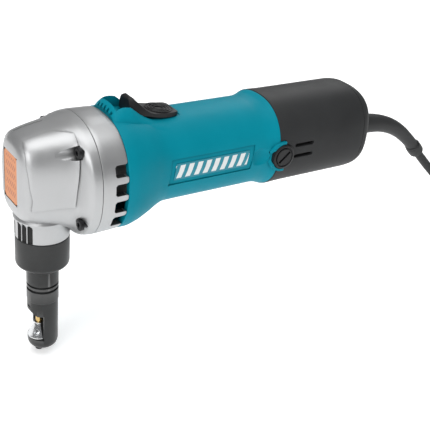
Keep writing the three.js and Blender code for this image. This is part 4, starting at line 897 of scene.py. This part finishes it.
knob = knob_body()
stands_for(knob, "switch", "black_plastic", "switch_knob")


# %% Knob rings with Geometry Nodes
def growing_tree(name, *sockets):
    tree = bpy.data.node_groups.new(name, "GeometryNodeTree")
    for title, kind, value in (("Geometry", "Geometry", None), *sockets):
        socket = tree.interface.new_socket(title, in_out="INPUT", socket_type="NodeSocket" + kind)
        if value is not None:
            socket.default_value = value
    tree.interface.new_socket("Geometry", in_out="OUTPUT", socket_type="NodeSocketGeometry")
    add = node_maker(tree)
    return tree, add, add("NodeGroupInput").outputs


def painted(add, shape, look):
    real = add("GeometryNodeRealizeInstances", {"Geometry": shape})
    paint = add("GeometryNodeSetMaterial", {"Geometry": real.outputs["Geometry"], "Material": look})
    add("NodeGroupOutput", {"Geometry": paint.outputs["Geometry"]})


def ring_tree():
    tree, add, given = growing_tree(
        "thumb_rings", ("Rings", "Int", 4), ("Outer radius", "Float", 0.0085), ("Step", "Float", 0.00185),
        ("Wire", "Float", 0.0005), ("Look", "Material", None))
    step = maths_on(add)
    spots = add("GeometryNodePoints", {"Count": given["Rings"]})
    circle = add("GeometryNodeCurvePrimitiveCircle", {"Resolution": 64, "Radius": 1.0})
    shrink = step("MULTIPLY", add("GeometryNodeInputIndex").outputs["Index"], given["Step"])
    rings = add("GeometryNodeInstanceOnPoints", {
        "Points": spots.outputs["Points"], "Instance": circle.outputs["Curve"],
        "Scale": step("SUBTRACT", given["Outer radius"], shrink)})
    real = add("GeometryNodeRealizeInstances", {"Geometry": rings.outputs["Instances"]})
    wire = add("GeometryNodeCurvePrimitiveCircle", {"Resolution": 12, "Radius": given["Wire"]})
    mesh = add("GeometryNodeCurveToMesh", {"Curve": real.outputs["Geometry"],
                                           "Profile Curve": wire.outputs["Curve"]})
    painted(add, mesh.outputs["Mesh"], given["Look"])
    return tree


def grown_mesh(holder, tree, settings):
    grow = holder.modifiers.new("grow", "NODES")
    grow.node_group = tree
    for item in tree.interface.items_tree:
        if item.in_out == "INPUT" and item.name in settings:
            grow[item.identifier] = settings[item.name]
    bpy.context.view_layer.update()
    mesh = bpy.data.meshes.new_from_object(holder.evaluated_get(bpy.context.evaluated_depsgraph_get()))
    holder.modifiers.clear()
    holder.data = mesh
    mesh.shade_smooth()
    print(holder.name, "faces:", len(mesh.polygons))
    return holder


thumb_rings = grown_mesh(new_piece("thumb_pad_rings", [], [], knob_black), ring_tree(), {"Look": knob_black})
PAD_X, PAD_Z = KNOB_END - 10.6, BARREL_R + 2.75
for vertex in thumb_rings.data.vertices:
    x, y, z = vertex.co
    vertex.co = (PAD_X * MM + x * 1.06, y * 0.97, PAD_Z * MM + z - x * 0.115 + 0.0001)
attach(thumb_rings, "switch")

# %% [markdown]
# ## Screws
# The same socket-head screw holds the head in four places. Geometry Nodes put one screw on each
# point of a small mesh. One more pair, turned to point down, holds the rear cover.

# %% Screws with Geometry Nodes
def screw_shape(head_r, head_h, shank_r, shank_l):
    profile = [(0, shank_l), (shank_r * 0.8, shank_l), (shank_r, shank_l - 0.6), (shank_r, 0), (head_r, 0),
               (head_r, -head_h + 0.4), (head_r - 0.4, -head_h), (0, -head_h)]
    body = turned(profile, 0, 0, screw_steel, 40)
    socket = bar("Z", head_r * 0.46, head_r * 0.46, -head_h - 1, -head_h + 1.4, 0, 0, 6)
    return shaped("tool", body, screw_steel, cuts=[socket])


def scatter_tree():
    tree, add, given = growing_tree("screws_on_points", ("Screw", "Object", None), ("Turn", "Rotation", None),
                                    ("Look", "Material", None))
    spots = add("GeometryNodeMeshToPoints", {"Mesh": given["Geometry"]})
    pattern = add("GeometryNodeObjectInfo", {"Object": given["Screw"]})
    rows = add("GeometryNodeInstanceOnPoints", {
        "Points": spots.outputs["Points"], "Instance": pattern.outputs["Geometry"], "Rotation": given["Turn"]})
    painted(add, rows.outputs["Instances"], given["Look"])
    return tree


screw_tree = scatter_tree()


def screws(name, spots, size, turn_xyz, nodes):
    pattern = screw_shape(*size)
    holder = new_piece(name, spots, [], screw_steel, smooth=False)
    grown_mesh(holder, screw_tree, {"Screw": pattern, "Turn": turn_xyz, "Look": screw_steel})
    bpy.data.objects.remove(pattern)
    holder.data.set_sharp_from_angle(angle=math.radians(35))
    return stands_for(holder, "housing", "black_steel", *nodes)


screws("head_screws", [(SCREW_X - 0.3, y, z) for y, z in screw_spots], (3.6, 2.3, 2.0, 15.5),
       (0, math.pi / 2, 0),
       [f"housing_screw_{n}" for n in ("upper_right", "upper_left", "lower_right", "lower_left")])
screws("rear_cover_screws", [(MOTOR_REAR + 7, y, -REAR_R + 1.3) for y in (-8, 8)], (3.0, 1.4, 1.5, 6.9),
       (0, 0, 0), ["rear_cover_screw_1", "rear_cover_screw_2"])

# %% [markdown]
# ## The punch column
# A ring nut clamps the die holder to the neck. The holder is a turned bar with two grooves that
# gauge sheet thickness, cut open in front for the sheet, the punch and the cone-shaped die.

# %% Lock nut
NUT_TOP, NUT_LOW, NUT_END = NECK_BOTTOM - 0.3, -60.2, -64.4
nut = shaped("ring_nut", turned([
    (12.8, NUT_TOP), (12.8, -58.0), (10.55, -58.0), (10.55, NUT_END), (11.2, NUT_END), (11.7, NUT_END + 0.4),
    (15.6, NUT_LOW - 0.8), (16.5, NUT_LOW), (16.9, NUT_LOW + 0.8), (17, NUT_LOW + 1.7), (17, NUT_TOP - 0.9),
    (16.8, NUT_TOP - 0.3), (16.2, NUT_TOP)], COLUMN_X, 0), nut_steel)
stands_for(nut, "nut", "dark_steel", "lock_nut")

# %% Die holder, die and bolt
FLANGE_TOP, HOLDER_TOP, HOLDER_R = -54.3, -57.7, 10.25
HOLDER_END, JAW_Z, DIE_SEAT = -124.3, -98.1, -117.3
PUNCH_X = COLUMN_X - 2.6
DIE_TOP = DIE_SEAT + 10.9
STEP_Z = HOLDER_TOP - 30.2
front = COLUMN_X - HOLDER_R


def gauge_groove(top, width):
    floor, rim = HOLDER_R - 1.1, HOLDER_R - 0.2
    return [(HOLDER_R, top + 0.2), (rim, top), (floor, top), (floor, top - width), (rim, top - width),
            (HOLDER_R, top - (width + 0.2))]


holder = shaped(
    "die_holder_bar", turned([
        (0, FLANGE_TOP), (12.3, FLANGE_TOP), (12.3, HOLDER_TOP), (HOLDER_R, HOLDER_TOP),
        *gauge_groove(HOLDER_TOP - 17.5, 1.2), *gauge_groove(HOLDER_TOP - 20.6, 1.6),
        (HOLDER_R, STEP_Z), (HOLDER_R - 0.3, STEP_Z - 0.4), (HOLDER_R - 0.3, HOLDER_END + 4.5),
        (HOLDER_R - 0.65, HOLDER_END + 2.6), (HOLDER_R - 1.3, HOLDER_END + 1.3),
        (HOLDER_R - 2.2, HOLDER_END + 0.3), (HOLDER_R - 2.9, HOLDER_END), (0, HOLDER_END)], COLUMN_X, 0, sides=128), oiled_steel,
    cuts=[bar("Z", 5.6, 5.6, JAW_Z + 3, FLANGE_TOP + 1, COLUMN_X, 0),
          bar("Z", 2.5, 2.5, JAW_Z - 1, JAW_Z + 5, PUNCH_X, 0),
          block(COLUMN_X - 30, COLUMN_X - 3, -20, 20, DIE_SEAT, JAW_Z),
          bar("Z", 7.6, 7.6, DIE_SEAT, JAW_Z, PUNCH_X, 0, 64),
          pushed([(front - 1, JAW_Z - 1), (front + 4.2, JAW_Z - 1), (front + 3.4, JAW_Z),
                  (front - 1, JAW_Z + 4.4)], "Y", -20, 20),
          block(front - 2, front + 0.8, -6, 6, JAW_Z + 5, JAW_Z + 11),
          bar("Z", 4.3, 4.3, HOLDER_END + 3, DIE_SEAT + 1, PUNCH_X, 0),
          bar("Z", 1.8, 1.8, HOLDER_END - 1, HOLDER_END + 5, PUNCH_X, 0, 24)])
stands_for(holder, "die_head", "dark_steel", "die_holder")

chip_way = bar("Z", 1.8, 1.8, 0, 12, 0, 0, 32)
chip_way.data.transform(Matrix.Translation((PUNCH_X * MM, 0, (DIE_TOP - 8.6) * MM))
                        @ Matrix.Rotation(math.radians(50), 4, "Z")
                        @ Matrix.Rotation(math.radians(-65), 4, "Y"))
base = DIE_SEAT + 0.3
slope = [(7.15 - 3.7 * k / 12, base + 0.95 + (DIE_TOP - base - 1.7) * k / 12) for k in range(13)]
cone = shaped("cone_die", turned([
    (0, HOLDER_END + 3.3), (4, HOLDER_END + 3.3), (4, base), (7.1, base), (7.3, base + 0.2), (7.3, base + 0.7),
    *slope, (3.3, DIE_TOP - 0.5), (3.3, DIE_TOP - 0.1), (3.2, DIE_TOP), (0, DIE_TOP)], PUNCH_X, 0),
    ground_steel, cuts=[
        bar("Z", 2.5, 2.5, DIE_TOP - 6.4, DIE_TOP + 1, PUNCH_X, 0), chip_way,
        bar("Z", 1.8, 1.8, HOLDER_END + 2.3, HOLDER_END + 7.3, PUNCH_X, 0, 24)])
stands_for(cone, "die_head", "bright_steel", "die")
rod = turned([(0, JAW_Z - 9.5), (1.9, JAW_Z - 9.5), (2.2, JAW_Z - 9.2), (2.2, -71.7), (0, -71.7)], PUNCH_X, 0,
             coated_punch, 64, "punch_rod")
rod.data.set_sharp_from_angle(angle=math.radians(32))
stands_for(rod, "punch_unit", "gold_steel", "punch")

# %% [markdown]
# ## The cord guard
# The rubber guard tapers from the cover to a collar and bends with the cord. It is a tube with a
# radius for each point.

# %% Cord guard
guard_places = [
    (-9, 0, 5.9), (0, 0, 5.9), (0.05, 0, 7.6), (0.5, 0, 8.4), (4, 0, 8.4), (12, -0.7, 8.1), (24, -2.3, 7.5),
    (37, -4.2, 6.8), (50, -8.2, 6.2), (62, -14.4, 5.6), (73, -22.4, 5.1), (81.8, -30.1, 4.9),
    (82.1, -30.4, 5.7), (83, -31.2, 6.0), (86, -34.1, 6.05), (88.4, -36.4, 5.9), (89, -37, 5.5),
]
guard_points = smooth_line([(REAR_END + x, 0, EXIT_Z + z) for x, z, r in guard_places], 3)
widths = [r for x, z, r in guard_places]
guard_radii = [r + (after - r) * j / 3 for r, after in zip(widths, widths[1:]) for j in range(3)]
guard_radii.append(widths[-1])
boot = tube("rubber_cord_guard", guard_points, guard_radii, guard_rubber, 48)
boot.data.set_sharp_from_angle(angle=math.radians(40))
stands_for(outward(boot), "housing", "rubber", "cord_guard")

# %% [markdown]
# ## The floor and the light
# A pale floor and broad soft lights show the shapes without hard shadows. The world is brighter
# above than at the horizon, which gives the metal something to reflect.

# %% Floor
floor_mesh = bpy.data.meshes.new("studio_floor")
reach = 6.0
floor_z = FLOOR_Z * MM - 0.0002
floor_mesh.from_pydata([(-reach, -reach, floor_z), (reach, -reach, floor_z), (reach, reach, floor_z),
                        (-reach, reach, floor_z)], [], [(0, 1, 2, 3)])
studio_floor = bpy.data.objects.new("studio_floor", floor_mesh)
scene.collection.objects.link(studio_floor)
paper = finish("floor_paper", (0.93, 0.93, 0.93), 0, 0.9, 0.01, 0.05, 2, 0.002, 300, edge=0)
floor_mesh.materials.append(paper)
glow = paper.node_tree.nodes["Principled BSDF"]
glow.inputs["Emission Color"].default_value = (1, 1, 1, 1)
glow.inputs["Emission Strength"].default_value = 0.44
print("floor at", round(floor_z, 4), "m")


# %% Lights
def soft_light(name, place, target, size, watts):
    lamp = bpy.data.lights.new(name, "AREA")
    lamp.shape = "RECTANGLE"
    lamp.size, lamp.size_y = size
    lamp.energy = watts
    holder = bpy.data.objects.new(name, lamp)
    holder.location = place
    holder.rotation_euler = (Vector(target) - Vector(place)).to_track_quat("-Z", "Y").to_euler()
    scene.collection.objects.link(holder)
    return holder


soft_light("overhead_light", (-0.1, -0.1, 1.3), (0, 0, 0), (1.2, 1.2), 10)
soft_light("window_light", (-1.1, -0.7, 0.7), (0, 0, 0), (0.9, 0.9), 8)
soft_light("far_light", (0.9, 0.8, 0.8), (0, 0, 0), (0.7, 0.7), 4)
world = bpy.data.worlds.new("studio_air")
scene.world = world
world.use_nodes = True
air = world.node_tree.nodes["Background"]
direction = world.node_tree.nodes.new("ShaderNodeTexCoord")
height = world.node_tree.nodes.new("ShaderNodeSeparateXYZ")
sky = world.node_tree.nodes.new("ShaderNodeValToRGB")
sky.color_ramp.elements[0].position = 0.0
sky.color_ramp.elements[0].color = (0.42, 0.43, 0.44, 1)
sky.color_ramp.elements[1].position = 0.7
sky.color_ramp.elements[1].color = (1, 1, 1, 1)
world.node_tree.links.new(direction.outputs["Generated"], height.inputs["Vector"])
world.node_tree.links.new(height.outputs["Z"], sky.inputs["Fac"])
world.node_tree.links.new(sky.outputs["Color"], air.inputs["Color"])
air.inputs["Strength"].default_value = 0.4
scene.view_settings.view_transform = "Standard"
